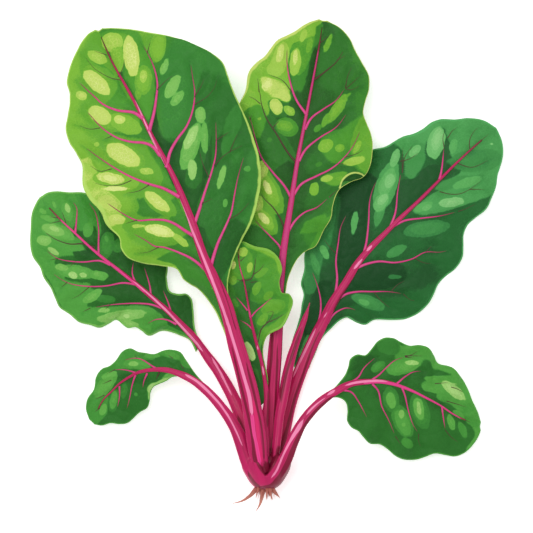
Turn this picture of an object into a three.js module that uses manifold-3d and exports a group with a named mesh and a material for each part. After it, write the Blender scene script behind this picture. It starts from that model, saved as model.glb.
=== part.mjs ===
// Bunch of ruby-stalked swiss chard, one whole plant lying on a flat surface.
//
// Millimetres, +Z up. The surface is the plane Z = 0. The origin is under the crown, where the
// plant rests; the leaves reach out along +Y, the roots along -Y, and +X is to the right.
// Each leaf is two solids: a red stalk that runs on as midrib and side veins, and a green blade
// that is slit round them. The stalks leave the crown at the plane Y = CROWN_TOP.

import * as THREE from "three";
import { mergeVertices } from "three/addons/utils/BufferGeometryUtils.js";
import Module from "manifold-3d";

// ---- Driving dimensions (mm) ----------------------------------------------------------------

const GAP = 0.3; // clearance between pieces that touch
const BLADE_THICKNESS = 1.2;
const SLIT_OVERRUN = 0.002; // part of the line by which the slit outruns the midrib
const RIB_END = 0.92; // part of the blade's length that the midrib reaches
const RIB_DEPTH_RATIO = 0.6; // depth of a stalk over its width
const RIB_LEAST_DEPTH = 2.4;
const VEIN_ROOT_WIDTH = 2.6;
const VEIN_END_WIDTH = 1.4;
const VEIN_DEPTH = 2.4;

const CROWN_TOP = 12; // Y of the plane where the stalks part from the crown
const CROWN_CENTRE = { x: 1, z: 17.6 };
const CROWN_DEPTH_RATIO = 0.88; // the crown is a little flattened, depth over width
const CROWN_PROFILE = [ // radius and Y, from the root end to the shoulder among the stalks
  [0, -20], [7, -19.2], [12.5, -15.5], [17.5, -8.5], [20.8, -2], [21.8, 4], [19, 9], [0, 11],
];
const CROWN_SIDES = 22;
const ROOT_COUNT = 8;
const ROOT_SEED = 7;

// ---- Finishes -------------------------------------------------------------------------------

const STALK_RED = { color: 0xc2266a, roughness: 0.35, metalness: 0 };
const CROWN_RED = { color: 0xa82560, roughness: 0.4, metalness: 0 };
const ROOT_TAN = { color: 0xb9745a, roughness: 0.8, metalness: 0 };
const LEAF_SHEEN = { roughness: 0.5, metalness: 0 }; // each leaf has a green of its own

// ---- The leaves -----------------------------------------------------------------------------
//
// line      centre line of the stalk and midrib, from the crown to the tip of the blade
// widths    width of the stalk at even steps along that line
// foot      part of the line's length at which the blade begins
// left      margin left of the midrib, seen from above with the tip upwards, from foot to tip
// right     margin right of it
// leftRise  height of the left margin at even steps along it, which gives its ruffles
// rightRise height of the right margin
// veins     side veins, each from the midrib outwards
// cells     cells of the blade along the midrib

const TALL_LEFT_LEAF = {
  name: "tall_left_leaf",
  color: 0x4c9433,
  line: [
    [-3, -6, 24], [-6, 12, 32.5], [-9, 40, 34.5], [-13, 65, 37], [-19, 87, 40], [-24, 107, 43],
    [-35, 143, 48], [-51, 177, 51], [-63, 212, 52], [-77, 246, 51], [-95, 280, 46], [-113, 315, 37],
    [-132, 349, 23], [-143, 374, 11],
  ],
  widths: [15, 17, 15.5, 14.5, 12.5, 9, 6.5, 4.5, 3.2, 2.2],
  foot: 0.28,
  left: [
    [-28, 100], [-35, 120], [-45, 139], [-56, 153], [-69, 160], [-75, 169], [-89, 172], [-105, 175],
    [-118, 180], [-124, 187], [-125, 195], [-135, 207], [-140, 218], [-150, 230], [-157, 240],
    [-157, 259], [-161, 268], [-168, 277], [-171, 288], [-169, 300], [-167, 311], [-169, 320],
    [-171, 329], [-169, 340], [-164, 352], [-158, 363], [-151, 371], [-145, 374],
  ],
  right: [
    [-19, 104], [-26, 124], [-31, 143], [-32, 158], [-28, 175], [-21, 194], [-13, 210], [-8, 229],
    [-5, 246], [-6, 261], [-11, 279], [-17, 295], [-22, 308], [-28, 322], [-33, 335], [-37, 346],
    [-46, 354], [-58, 360], [-69, 365], [-79, 369], [-99, 372], [-112, 375], [-126, 376], [-140, 375],
  ],
  leftRise: [42, 41, 36, 41, 36, 43, 37, 42, 35, 38, 29, 27, 16, 13],
  rightRise: [43, 44, 47, 43, 48, 43, 47, 41, 44, 34, 36, 25, 22, 12],
  veins: [
    [[-45, 165], [-73, 184], [-90, 188], [-114, 201]],
    [[-58, 194], [-73, 204], [-109, 211], [-134, 226]],
    [[-70, 225], [-86, 236], [-112, 245], [-148, 270]],
    [[-84, 258], [-93, 273], [-114, 278], [-137, 286], [-150, 299]],
    [[-48, 172], [-39, 194], [-26, 224], [-17, 262]],
    [[-61, 208], [-50, 242], [-41, 280], [-42, 298]],
    [[-83, 259], [-75, 281], [-61, 311], [-63, 339]],
    [[-99, 287], [-92, 322], [-95, 342], [-104, 360]],
  ],
  cells: 24,
};

const TALL_MIDDLE_LEAF = {
  name: "tall_middle_leaf",
  color: 0x5a9a30,
  line: [
    [3, -9, 17], [4, 12, 15.5], [6, 35, 15.5], [7, 65, 17], [9, 91, 19.5], [10, 121, 22], [12, 149, 24.5],
    [16, 186, 27.5], [22, 224, 30], [28, 263, 31], [33, 289, 30], [38, 315, 27], [42, 336, 21],
    [46, 358, 13], [50, 383, 5],
  ],
  widths: [10, 11, 11, 10.5, 8.5, 6.4, 4.8, 3.6, 2.8, 2],
  foot: 0.38,
  left: [
    [9, 140], [9, 158], [2, 177], [-9, 192], [-18, 208], [-25, 229], [-28, 253], [-28, 275], [-24, 296],
    [-16, 321], [-14, 339], [-9, 347], [-1, 353], [5, 360], [11, 366], [19, 370], [27, 373], [34, 378],
    [40, 382], [47, 384],
  ],
  right: [
    [15, 139], [18, 156], [22, 170], [28, 180], [35, 185], [43, 189], [50, 203], [56, 213], [58, 224],
    [63, 237], [73, 244], [83, 248], [89, 256], [92, 270], [91, 285], [88, 294], [84, 303], [85, 314],
    [89, 324], [89, 335], [83, 347], [77, 358], [72, 368], [64, 377], [53, 383],
  ],
  leftRise: [24, 25, 27, 28, 29, 28, 26, 27, 20, 20, 11, 8],
  rightRise: [24, 23, 26, 21, 27, 29, 24, 28, 21, 25, 16, 17, 8, 7],
  veins: [
    [[18, 197], [4, 223], [-6, 237]],
    [[22, 230], [6, 253], [-9, 280], [-14, 300]],
    [[28, 259], [9, 286], [-4, 318]],
    [[35, 299], [22, 328], [19, 358]],
    [[21, 205], [40, 222], [55, 235]],
    [[24, 233], [46, 251], [69, 267], [80, 286]],
    [[29, 265], [52, 288], [71, 305]],
    [[34, 292], [54, 312], [73, 328]],
  ],
  cells: 22,
};

const RIGHT_LEAF = {
  name: "right_leaf",
  color: 0x2a6036,
  line: [
    [9, -9, 8], [14, 14, 6.2], [18, 31, 6], [23, 52, 6], [29, 76, 6.2], [35, 95, 6.8], [42, 110, 7.5],
    [50, 125, 9], [58, 140, 11], [69, 157, 12.5], [80, 175, 14], [91, 188, 15], [103, 200, 15.5],
    [116, 213, 15.5], [132, 228, 15], [148, 244, 13], [163, 259, 10], [178, 273, 7], [199, 291, 2.5],
  ],
  widths: [12, 14, 13.5, 12, 9.5, 7, 5.5, 4, 3, 2],
  foot: 0.27,
  left: [
    [28, 77], [25, 88], [27, 104], [30, 119], [33, 148], [31, 157], [34, 169], [34, 181], [38, 196],
    [44, 212], [53, 227], [64, 241], [73, 255], [83, 266], [93, 272], [103, 274], [118, 282], [127, 285],
    [136, 289], [143, 295], [152, 298], [164, 298], [176, 299], [187, 297], [197, 292],
  ],
  right: [
    [37, 84], [42, 97], [49, 110], [57, 120], [64, 126], [71, 128], [78, 124], [86, 121], [94, 126],
    [111, 126], [121, 127], [132, 132], [141, 139], [145, 148], [149, 157], [156, 164], [164, 171],
    [169, 180], [171, 190], [170, 200], [174, 208], [181, 214], [190, 220], [194, 230], [198, 241],
    [200, 252], [204, 265], [204, 278], [201, 288],
  ],
  leftRise: [7, 9, 11, 9, 12, 13, 12, 10, 6, 9, 3, 5, 1, 2],
  rightRise: [6, 2, 6, 0, 5, 0, 6, 0, 6, 0, 5, 0, 3, 1],
  veins: [
    [[46, 119], [47, 143], [41, 167]],
    [[59, 144], [62, 170], [64, 203], [69, 214]],
    [[83, 179], [88, 207], [91, 232], [95, 243]],
    [[108, 206], [115, 235], [117, 258]],
    [[64, 149], [90, 150], [122, 149]],
    [[81, 175], [112, 175], [138, 184], [156, 186]],
    [[110, 207], [125, 213], [165, 219]],
    [[146, 243], [163, 234], [185, 246]],
  ],
  cells: 24,
};

const LEFT_LEAF = {
  name: "left_leaf",
  color: 0x3a7d33,
  line: [
    [-3, -9, 18], [-8, 9, 16], [-13, 25, 15], [-19, 40, 14], [-25, 54, 13], [-32, 69, 12], [-40, 83, 11.5],
    [-50, 96, 11], [-59, 109, 11], [-70, 120, 11], [-83, 133, 12], [-97, 145, 13], [-111, 157, 14],
    [-125, 168, 14.5], [-138, 178, 14.5], [-150, 188, 14], [-163, 200, 11.5], [-176, 212, 8], [-194, 231, 3],
  ],
  widths: [11, 12, 11.5, 10, 8.5, 7, 5.2, 4, 3, 2],
  foot: 0.4,
  left: [
    [-58, 99], [-65, 108], [-73, 113], [-82, 116], [-89, 117], [-100, 113], [-106, 117], [-111, 120],
    [-118, 119], [-128, 126], [-134, 123], [-142, 120], [-150, 121], [-159, 125], [-167, 132],
    [-175, 138], [-180, 145], [-182, 154], [-188, 163], [-193, 172], [-199, 182], [-201, 193],
    [-201, 205], [-200, 218], [-196, 229],
  ],
  right: [
    [-51, 97], [-53, 106], [-58, 114], [-61, 124], [-62, 134], [-64, 144], [-68, 148], [-75, 148],
    [-81, 151], [-84, 161], [-83, 171], [-88, 184], [-99, 196], [-109, 206], [-121, 215], [-133, 224],
    [-145, 230], [-156, 234], [-168, 235], [-179, 236], [-187, 235], [-192, 232],
  ],
  leftRise: [10, 6, 1, 6, 0, 5, 0, 5, 0, 4, 0, 2],
  rightRise: [10, 11, 7, 12, 8, 12, 9, 7, 3, 5, 1, 2],
  veins: [
    [[-95, 142], [-104, 172]],
    [[-116, 160], [-114, 175], [-117, 190]],
    [[-147, 185], [-144, 207], [-152, 226]],
    [[-86, 135], [-116, 141], [-143, 137]],
    [[-111, 157], [-150, 155], [-183, 166]],
    [[-134, 175], [-166, 175], [-188, 186]],
  ],
  cells: 20,
};

const LOW_LEFT_LEAF = {
  name: "low_left_leaf",
  color: 0x3c8237,
  line: [
    [-6, -11, 21], [-12, -2, 25.5], [-18, 12, 27], [-23, 25, 28.5], [-30, 38, 29.5], [-40, 51, 30],
    [-50, 61, 29.5], [-61, 71, 29], [-72, 78, 28], [-85, 83, 26], [-97, 83, 23], [-108, 81, 20],
    [-116, 77, 17], [-125, 71, 14], [-132, 64, 11], [-139, 57, 8], [-149, 38, 3],
  ],
  widths: [11, 12.5, 12, 10.5, 9, 7, 4.8, 3.6, 2.6, 2],
  foot: 0.5,
  left: [
    [-58, 71], [-67, 75], [-75, 78], [-81, 77], [-85, 74], [-92, 73], [-98, 72], [-101, 67], [-101, 61],
    [-99, 55], [-101, 50], [-108, 47], [-113, 42], [-119, 38], [-126, 36], [-133, 37], [-140, 35],
    [-147, 36],
  ],
  right: [
    [-52, 70], [-58, 77], [-64, 84], [-69, 92], [-73, 97], [-81, 100], [-88, 99], [-95, 97], [-102, 97],
    [-109, 98], [-116, 101], [-123, 98], [-127, 90], [-133, 86], [-140, 83], [-145, 76], [-147, 66],
    [-151, 58], [-154, 50], [-151, 40],
  ],
  leftRise: [29, 26, 18, 12, 10, 5, 7, 2],
  rightRise: [29, 25, 29, 20, 24, 13, 15, 6, 7, 2],
  veins: [
    [[-90, 83], [-108, 92], [-122, 92]],
    [[-108, 80], [-126, 83], [-136, 79]],
    [[-110, 79], [-115, 59], [-118, 49]],
  ],
  cells: 16,
};

const LOW_RIGHT_LEAF = {
  name: "low_right_leaf",
  color: 0x35792f,
  line: [
    [7, -11, 22], [13, -2, 27.5], [19, 10, 31], [25, 24, 33], [31, 37, 34], [40, 48, 35], [49, 58, 35],
    [60, 65, 34.5], [73, 71, 32.5], [87, 73, 30], [100, 73, 27], [113, 70, 24], [126, 65, 20.5],
    [138, 59, 17], [151, 52, 13], [163, 44, 9], [185, 34, 3],
  ],
  widths: [11, 12.5, 12, 10.5, 8.5, 6.5, 4.8, 3.8, 3, 2],
  foot: 0.44,
  left: [
    [56, 64], [62, 71], [68, 78], [72, 85], [73, 92], [79, 96], [86, 96], [91, 101], [96, 107],
    [103, 110], [110, 109], [117, 106], [124, 103], [132, 104], [140, 102], [144, 95], [149, 89],
    [157, 86], [163, 83], [169, 75], [174, 65], [178, 55], [182, 47], [185, 37],
  ],
  right: [
    [54, 59], [63, 59], [69, 56], [71, 48], [71, 40], [75, 34], [81, 31], [85, 25], [90, 20], [99, 19],
    [105, 15], [112, 9], [120, 5], [130, 6], [138, 9], [146, 11], [155, 9], [163, 8], [170, 11],
    [176, 17], [182, 24], [185, 31],
  ],
  leftRise: [34, 30, 34, 27, 31, 22, 26, 15, 17, 7, 8, 2],
  rightRise: [34, 29, 22, 24, 14, 16, 6, 9, 2, 5, 2],
  veins: [
    [[73, 71], [82, 80], [93, 94]],
    [[89, 73], [108, 87], [122, 94]],
    [[113, 71], [134, 83]],
    [[68, 68], [82, 55], [87, 45]],
    [[92, 73], [101, 52], [111, 28]],
    [[118, 68], [124, 44], [132, 30]],
  ],
  cells: 18,
};

const HEART_LEAF = {
  name: "heart_leaf",
  color: 0x4b9e30,
  line: [
    [1, -9, 24], [2, 12, 24], [1, 35, 24.5], [0, 57, 25.5], [-2, 74, 26.5], [-4, 91, 28.5], [-8, 108, 30.5],
    [-12, 126, 32.5], [-15, 143, 34], [-18, 159, 35.5], [-22, 174, 36.5], [-22, 193, 37],
  ],
  widths: [7, 7, 6.8, 6.2, 5.4, 4.6, 3.8, 3, 2.5, 2],
  foot: 0.32,
  left: [
    [-2, 53], [-6, 67], [-10, 83], [-15, 98], [-22, 115], [-29, 136], [-34, 153], [-35, 170], [-31, 184],
    [-25, 192],
  ],
  right: [
    [1, 57], [1, 81], [-3, 95], [-2, 106], [3, 114], [13, 121], [21, 132], [23, 142], [20, 148],
    [14, 149], [12, 157], [14, 169], [11, 179], [3, 186], [-9, 189], [-18, 193],
  ],
  leftRise: [25, 27, 29, 32, 33, 35, 36],
  rightRise: [25, 28, 30, 33, 35, 33, 36, 35, 38, 37],
  veins: [
    [[-12, 126], [-1, 139], [6, 145]],
    [[-7, 108], [6, 124], [14, 131]],
  ],
  cells: 12,
};

const LEAVES = [
  TALL_LEFT_LEAF, TALL_MIDDLE_LEAF, RIGHT_LEAF, LEFT_LEAF, LOW_LEFT_LEAF, LOW_RIGHT_LEAF, HEART_LEAF,
];

// A young leaf that hasn't opened: a bare stalk that runs out to a point.
const YOUNG_STALK = {
  name: "young_stalk",
  line: [
    [5, -9, 19], [9, 12, 24.5], [10.5, 27, 24.5], [12.5, 44, 24], [15.5, 59, 22.5], [18.5, 76, 20.5],
    [22, 93, 20], [26, 108, 20.5], [32, 122, 21], [35, 132, 22], [38, 139, 23],
  ],
  widths: [6.5, 7, 7, 7.2, 7.4, 7.2, 6.6, 5.4, 3.6, 0.8],
};

// Roots that hang from the lower end of the crown: points from the root plate outwards.
const ROOT_PLATE = { x: 1, y: -20.5, z: 17, halfWidth: 9.5, halfLength: 4, halfDepth: 8 };
const LONG_ROOTS = [
  { line: [[-4, -18, 15], [-13, -24, 13], [-20, -29, 10], [-28, -32, 7]], width: 3.4 },
  { line: [[-2, -18, 17], [-3, -26, 15], [-4, -32, 13], [-8, -39, 10]], width: 3.4 },
  { line: [[-4, -18, 20], [-8, -27, 21]], width: 2.6 },
  { line: [[2, -18, 20], [2, -28, 20]], width: 2.6 },
  { line: [[4, -18, 19], [7, -28, 19]], width: 2.6 },
  { line: [[6, -18, 17], [13, -26, 16]], width: 2.8 },
];
const SHORT_ROOT = { length: 11, lengthSpread: 5, width: 2.4 };

// ---- Solids ---------------------------------------------------------------------------------

const wasm = await Module();
wasm.setup();

function toSolid(geometry) {
  const bare = geometry.clone();
  bare.deleteAttribute("normal");
  bare.deleteAttribute("uv");
  const merged = mergeVertices(bare, 1e-4);
  return new wasm.Manifold(new wasm.Mesh({
    numProp: 3,
    vertProperties: Float32Array.from(merged.attributes.position.array),
    triVerts: Uint32Array.from(merged.index.array),
  }));
}

function toGeometry(solid) {
  const mesh = solid.getMesh();
  const geometry = new THREE.BufferGeometry();
  geometry.setAttribute("position", new THREE.BufferAttribute(mesh.vertProperties, 3));
  geometry.setIndex(new THREE.BufferAttribute(mesh.triVerts, 1));
  geometry.computeVertexNormals();
  return geometry;
}

function largestBody(solid) {
  return solid.decompose().reduce((best, body) => (body.volume() > best.volume() ? body : best));
}

function boxSolid(width, length, height, x, y, z) {
  const box = new THREE.BoxGeometry(width, length, height);
  box.translate(x, y, z);
  return toSolid(box);
}

// ---- Curves ---------------------------------------------------------------------------------

function curveThrough(points) {
  return new THREE.CatmullRomCurve3(points.map(([x, y, z = 0]) => new THREE.Vector3(x, y, z)));
}

// A value from a list that is spread evenly over 0..1, eased between its entries.
function valueAt(list, part) {
  const place = THREE.MathUtils.clamp(part, 0, 1) * (list.length - 1);
  const step = Math.min(Math.floor(place), list.length - 2);
  const ease = (1 - Math.cos(Math.PI * (place - step))) / 2;
  return THREE.MathUtils.lerp(list[step], list[step + 1], ease);
}

// ---- Round pieces: stalks, veins and roots ---------------------------------------------------

// Outline of a stalk across its length, as parts of its half width and half depth: a low ridge
// runs along its upper side between two grooves.
const STALK_SECTION = [
  [1, 0], [0.76, 0.74], [0.4, 0.72], [0, 1], [-0.4, 0.72], [-0.76, 0.74], [-1, 0], [-0.6, -0.8],
  [0.6, -0.8],
];
const SQUARE_SECTION = [[1, 1], [-1, 1], [-1, -1], [1, -1]]; // of a vein, and of every slit
const ROOT_SECTION = [[1, 0], [0, 1], [-1, 0], [0, -1]];

// A closed solid through rings of one section. Each ring has a centre, a width and a depth.
function loft(rings, section) {
  const positions = [];
  const indices = [];
  const up = new THREE.Vector3(0, 0, 1);
  rings.forEach((ring, i) => {
    const before = rings[Math.max(i - 1, 0)].centre;
    const after = rings[Math.min(i + 1, rings.length - 1)].centre;
    const along = new THREE.Vector3().subVectors(after, before).normalize();
    const side = new THREE.Vector3().crossVectors(along, up).normalize();
    const top = new THREE.Vector3().crossVectors(side, along);
    for (const [across, high] of section) {
      const point = ring.centre.clone();
      point.addScaledVector(side, (across * ring.width) / 2);
      point.addScaledVector(top, (high * ring.depth) / 2);
      positions.push(point.x, point.y, point.z);
    }
  });
  const count = section.length;
  for (let i = 0; i + 1 < rings.length; i += 1) {
    for (let k = 0; k < count; k += 1) {
      const a = i * count + k;
      const b = i * count + ((k + 1) % count);
      indices.push(a, b + count, b, a, a + count, b + count);
    }
  }
  const last = (rings.length - 1) * count;
  for (let k = 1; k + 1 < count; k += 1) {
    indices.push(0, k, k + 1, last, last + k + 1, last + k);
  }
  const geometry = new THREE.BufferGeometry();
  geometry.setAttribute("position", new THREE.Float32BufferAttribute(positions, 3));
  geometry.setIndex(indices);
  return toSolid(geometry);
}

function ribDepth(width) {
  return Math.max(width * RIB_DEPTH_RATIO, RIB_LEAST_DEPTH);
}

// A stalk from the start of its line to the given part of it.
function stalkSolid(plant, end, steps, section = STALK_SECTION, growth = 0) {
  const curve = curveThrough(plant.line);
  const rings = [];
  for (let i = 0; i <= steps; i += 1) {
    const part = (end * i) / steps;
    const width = valueAt(plant.widths, part);
    rings.push({
      centre: curve.getPointAt(part),
      width: width + 2 * growth,
      depth: (plant.foot ? ribDepth(width) : width * 0.85) + 2 * growth,
    });
  }
  return loft(rings, section);
}

// ---- Blades ---------------------------------------------------------------------------------

const CELL_EDGES_ACROSS = [-1, -0.6, 0, 0.6, 1]; // margin, midrib, margin

// Points of the blade's middle surface, row by row from its foot to its tip.
function bladeGrid(leaf) {
  const line = curveThrough(leaf.line);
  const left = curveThrough(leaf.left);
  const right = curveThrough(leaf.right);
  const rows = [];
  for (let i = 0; i <= leaf.cells; i += 1) {
    const part = i / leaf.cells;
    const middle = line.getPointAt(leaf.foot + (1 - leaf.foot) * part);
    rows.push(CELL_EDGES_ACROSS.map((across) => {
      const onLeft = across < 0;
      const margin = (onLeft ? left : right).getPointAt(part);
      const rise = valueAt(onLeft ? leaf.leftRise : leaf.rightRise, part);
      const out = Math.abs(across);
      const point = middle.clone().lerp(margin, out);
      const height = THREE.MathUtils.lerp(middle.z, rise, out * out);
      point.z = Math.max(height, BLADE_THICKNESS / 2);
      return point;
    }));
  }
  return rows;
}

// The two triangles of each cell, split alike on both faces.
function gridTriangles(rows) {
  const width = rows[0].length;
  const triangles = [];
  for (let i = 0; i + 1 < rows.length; i += 1) {
    for (let k = 0; k + 1 < width; k += 1) {
      const a = i * width + k;
      triangles.push([a, a + 1, a + width + 1], [a, a + width + 1, a + width]);
    }
  }
  return triangles;
}

// The blade's outline as grid numbers, once round.
function gridRim(rows) {
  const width = rows[0].length;
  const last = (rows.length - 1) * width;
  const rim = [];
  for (let k = 0; k < width - 1; k += 1) rim.push(k);
  for (let i = 0; i < rows.length - 1; i += 1) rim.push(i * width + width - 1);
  for (let k = width - 1; k > 0; k -= 1) rim.push(last + k);
  for (let i = rows.length - 1; i > 0; i -= 1) rim.push(i * width);
  return rim;
}

function slabSolid(rows) {
  const points = rows.flat();
  const count = points.length;
  const half = BLADE_THICKNESS / 2;
  const positions = [];
  for (const point of points) positions.push(point.x, point.y, point.z + half);
  for (const point of points) positions.push(point.x, point.y, point.z - half);
  const indices = [];
  for (const [a, b, c] of gridTriangles(rows)) {
    indices.push(a, b, c, a + count, c + count, b + count);
  }
  const rim = gridRim(rows);
  rim.forEach((a, i) => {
    const b = rim[(i + 1) % rim.length];
    indices.push(a, a + count, b + count, a, b + count, b);
  });
  const geometry = new THREE.BufferGeometry();
  geometry.setAttribute("position", new THREE.Float32BufferAttribute(positions, 3));
  geometry.setIndex(indices);
  return toSolid(geometry);
}

// Height of the blade's middle surface over a point of the plan.
function heightOver(rows, x, y) {
  const points = rows.flat();
  let best = null;
  for (const [a, b, c] of gridTriangles(rows)) {
    const [p, q, r] = [points[a], points[b], points[c]];
    const area = (q.x - p.x) * (r.y - p.y) - (r.x - p.x) * (q.y - p.y);
    const v = ((x - p.x) * (r.y - p.y) - (r.x - p.x) * (y - p.y)) / area;
    const w = ((q.x - p.x) * (y - p.y) - (x - p.x) * (q.y - p.y)) / area;
    const outside = Math.max(-v, -w, v + w - 1, 0);
    if (best === null || outside < best.outside) {
      best = { outside, height: p.z + v * (q.z - p.z) + w * (r.z - p.z) };
    }
  }
  return best.height;
}

function veinSolid(rows, vein, growth) {
  const steps = vein.length - 1;
  const rings = vein.map(([x, y], i) => ({
    centre: new THREE.Vector3(x, y, heightOver(rows, x, y)),
    width: THREE.MathUtils.lerp(VEIN_ROOT_WIDTH, VEIN_END_WIDTH, i / steps) + 2 * growth,
    depth: VEIN_DEPTH + 2 * growth,
  }));
  if (growth > 0) {
    const end = rings[steps].centre;
    const step = end.clone().sub(rings[steps - 1].centre).setLength(growth);
    end.add(step);
  }
  return loft(rings, SQUARE_SECTION);
}

function ribEnd(leaf) {
  return leaf.foot + (1 - leaf.foot) * RIB_END;
}

function ribSteps(leaf) {
  return Math.round(leaf.cells * 0.7);
}

// The whole red part of a leaf: stalk, midrib and side veins in one body.
function ribSolid(leaf, rows) {
  const stalk = stalkSolid(leaf, ribEnd(leaf), ribSteps(leaf));
  return wasm.Manifold.union([stalk, ...leaf.veins.map((vein) => veinSolid(rows, vein, 0))]);
}

// The room that the blade leaves for it: the same lines with straight sides, GAP wider all round.
function slitSolid(leaf, rows) {
  const stalk = stalkSolid(leaf, ribEnd(leaf) + SLIT_OVERRUN, ribSteps(leaf), SQUARE_SECTION, GAP);
  return wasm.Manifold.union([stalk, ...leaf.veins.map((vein) => veinSolid(rows, vein, GAP))]);
}

// ---- Crown and roots ------------------------------------------------------------------------

// The crown without its stalks, swollen outwards and rootwards by the growth.
function crownBody(growth) {
  const profile = CROWN_PROFILE.map(([radius, y]) => (
    new THREE.Vector2(radius === 0 ? 0 : radius + growth, y < 0 ? y - growth : y)
  ));
  const geometry = new THREE.LatheGeometry(profile, CROWN_SIDES);
  geometry.scale(1, 1, CROWN_DEPTH_RATIO);
  geometry.translate(CROWN_CENTRE.x, 0, CROWN_CENTRE.z);
  return toSolid(geometry);
}

function below(solid, y) {
  return solid.subtract(boxSolid(800, 800, 800, 0, y + 400, 0));
}

function above(solid, y) {
  return solid.subtract(boxSolid(800, 800, 800, 0, y - 400, 0));
}

function crownSolid(stalks) {
  const shortStalks = stalks.map((stalk) => below(stalk, CROWN_TOP));
  const whole = wasm.Manifold.union([crownBody(0), ...shortStalks]);
  return largestBody(whole.subtract(boxSolid(800, 800, 100, 0, 0, -50)));
}

function seededRandom(seed) {
  let state = seed;
  return () => {
    state = (state * 1103515245 + 12345) % 2147483648;
    return state / 2147483648;
  };
}

function rootSolid(line, width) {
  const curve = curveThrough(line);
  const steps = line.length;
  const rings = [];
  for (let i = 0; i <= steps; i += 1) {
    const size = width * (1 - 0.8 * (i / steps));
    rings.push({ centre: curve.getPointAt(i / steps), width: size, depth: size });
  }
  return loft(rings, ROOT_SECTION);
}

// Short roots fan out from the underside of the root plate.
function shortRoots() {
  const random = seededRandom(ROOT_SEED);
  const roots = [];
  for (let i = 0; i < ROOT_COUNT; i += 1) {
    const around = Math.PI * (1.05 + (0.9 * i) / (ROOT_COUNT - 1));
    const length = SHORT_ROOT.length + SHORT_ROOT.lengthSpread * (random() - 0.5);
    const across = Math.cos(around);
    const drop = Math.sin(around);
    const x = ROOT_PLATE.x + 5 * across;
    const z = ROOT_PLATE.z + 4 * drop;
    const line = [
      [x, ROOT_PLATE.y + 1.5, z],
      [x + 0.35 * length * across, ROOT_PLATE.y - 0.5 * length, z + 0.3 * length * drop],
      [x + 0.6 * length * across, ROOT_PLATE.y - length * (0.8 + 0.3 * random()), z + 0.6 * length * drop],
    ];
    roots.push(rootSolid(line, SHORT_ROOT.width));
  }
  return roots;
}

function rootsSolid() {
  const plate = new THREE.SphereGeometry(1, 12, 6);
  plate.scale(ROOT_PLATE.halfWidth, ROOT_PLATE.halfLength, ROOT_PLATE.halfDepth);
  plate.translate(ROOT_PLATE.x, ROOT_PLATE.y, ROOT_PLATE.z);
  const longRoots = LONG_ROOTS.map(({ line, width }) => rootSolid(line, width));
  const whole = wasm.Manifold.union([toSolid(plate), ...longRoots, ...shortRoots()]);
  return largestBody(whole.subtract(crownBody(GAP)));
}

// ---- The bunch ------------------------------------------------------------------------------

const bunch = new THREE.Group();

function addPiece(name, solid, finish) {
  const mesh = new THREE.Mesh(toGeometry(solid), new THREE.MeshStandardMaterial(finish));
  mesh.name = name;
  bunch.add(mesh);
}

const stalks = [stalkSolid(YOUNG_STALK, 1, 14)];
addPiece("young_stalk", above(stalks[0], CROWN_TOP + GAP), STALK_RED);
for (const leaf of LEAVES) {
  const rows = bladeGrid(leaf);
  const rib = ribSolid(leaf, rows);
  const blade = largestBody(slabSolid(rows).subtract(slitSolid(leaf, rows)));
  stalks.push(rib);
  addPiece(`${leaf.name}_stalk`, above(rib, CROWN_TOP + GAP), STALK_RED);
  addPiece(`${leaf.name}_blade`, blade, { color: leaf.color, ...LEAF_SHEEN });
}
addPiece("crown", crownSolid(stalks), CROWN_RED);
addPiece("roots", rootsSolid(), ROOT_TAN);

export default bunch;
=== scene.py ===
"""Bunch of ruby-stalked swiss chard, one whole plant lying on a flat floor.

The plant lies with its leaves along +Y and its roots along -Y, its crown over the origin.
Lists of points are in millimetres; everything that is built is in metres.
"""

import math
import random

import bpy
import numpy as np
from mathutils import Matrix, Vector, noise
from mathutils.bvhtree import BVHTree
from mathutils.kdtree import KDTree


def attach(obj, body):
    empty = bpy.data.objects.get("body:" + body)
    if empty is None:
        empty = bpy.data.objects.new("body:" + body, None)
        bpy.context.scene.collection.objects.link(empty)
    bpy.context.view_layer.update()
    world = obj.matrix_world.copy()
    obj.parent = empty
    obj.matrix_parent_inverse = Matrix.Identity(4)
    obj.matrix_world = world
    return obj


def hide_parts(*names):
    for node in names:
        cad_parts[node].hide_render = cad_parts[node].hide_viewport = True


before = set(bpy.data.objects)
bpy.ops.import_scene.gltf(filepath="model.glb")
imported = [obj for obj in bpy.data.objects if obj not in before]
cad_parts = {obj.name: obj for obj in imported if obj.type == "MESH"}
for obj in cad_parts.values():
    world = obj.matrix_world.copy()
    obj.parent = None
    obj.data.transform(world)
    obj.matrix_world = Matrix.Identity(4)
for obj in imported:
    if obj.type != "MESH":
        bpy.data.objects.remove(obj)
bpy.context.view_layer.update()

MM = 0.001

# ---- Sizes (mm) ----

BLADE_THICKNESS = 0.7
BLADE_LEAST_HEIGHT = 0.42  # of the blade's middle over the floor
PUFF_REACH = 9.0  # distance from a vein at which the blade is fully puffed up
BLISTER_SIZE = 9.0
BLISTER_HEIGHT = 1.5
CRUMPLE_SIZE = 15.0
CRUMPLE_HEIGHT = 0.5
FLUTTER_LENGTH = 11.0  # of the waves in the height of the margin
FLUTTER_HEIGHT = 1.5
MARGIN_SPREAD = 0.35  # by which the margin lies outside the outlines below
MARGIN_RIPPLE = 0.5  # by which that varies
MARGIN_RIPPLE_LENGTH = 12.0
# Painted shade on the blade reaches this far from the midrib and from the veins:
RIB_SHADE_REACH = 8.0  # distance over which the green deepens towards the midrib
VEIN_SHADE_REACH = 3.2
ZONE_RAGGEDNESS = 0.9  # by which the edges of the painted zones waver
ZONE_WAVE_LENGTH = 5.0

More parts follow.
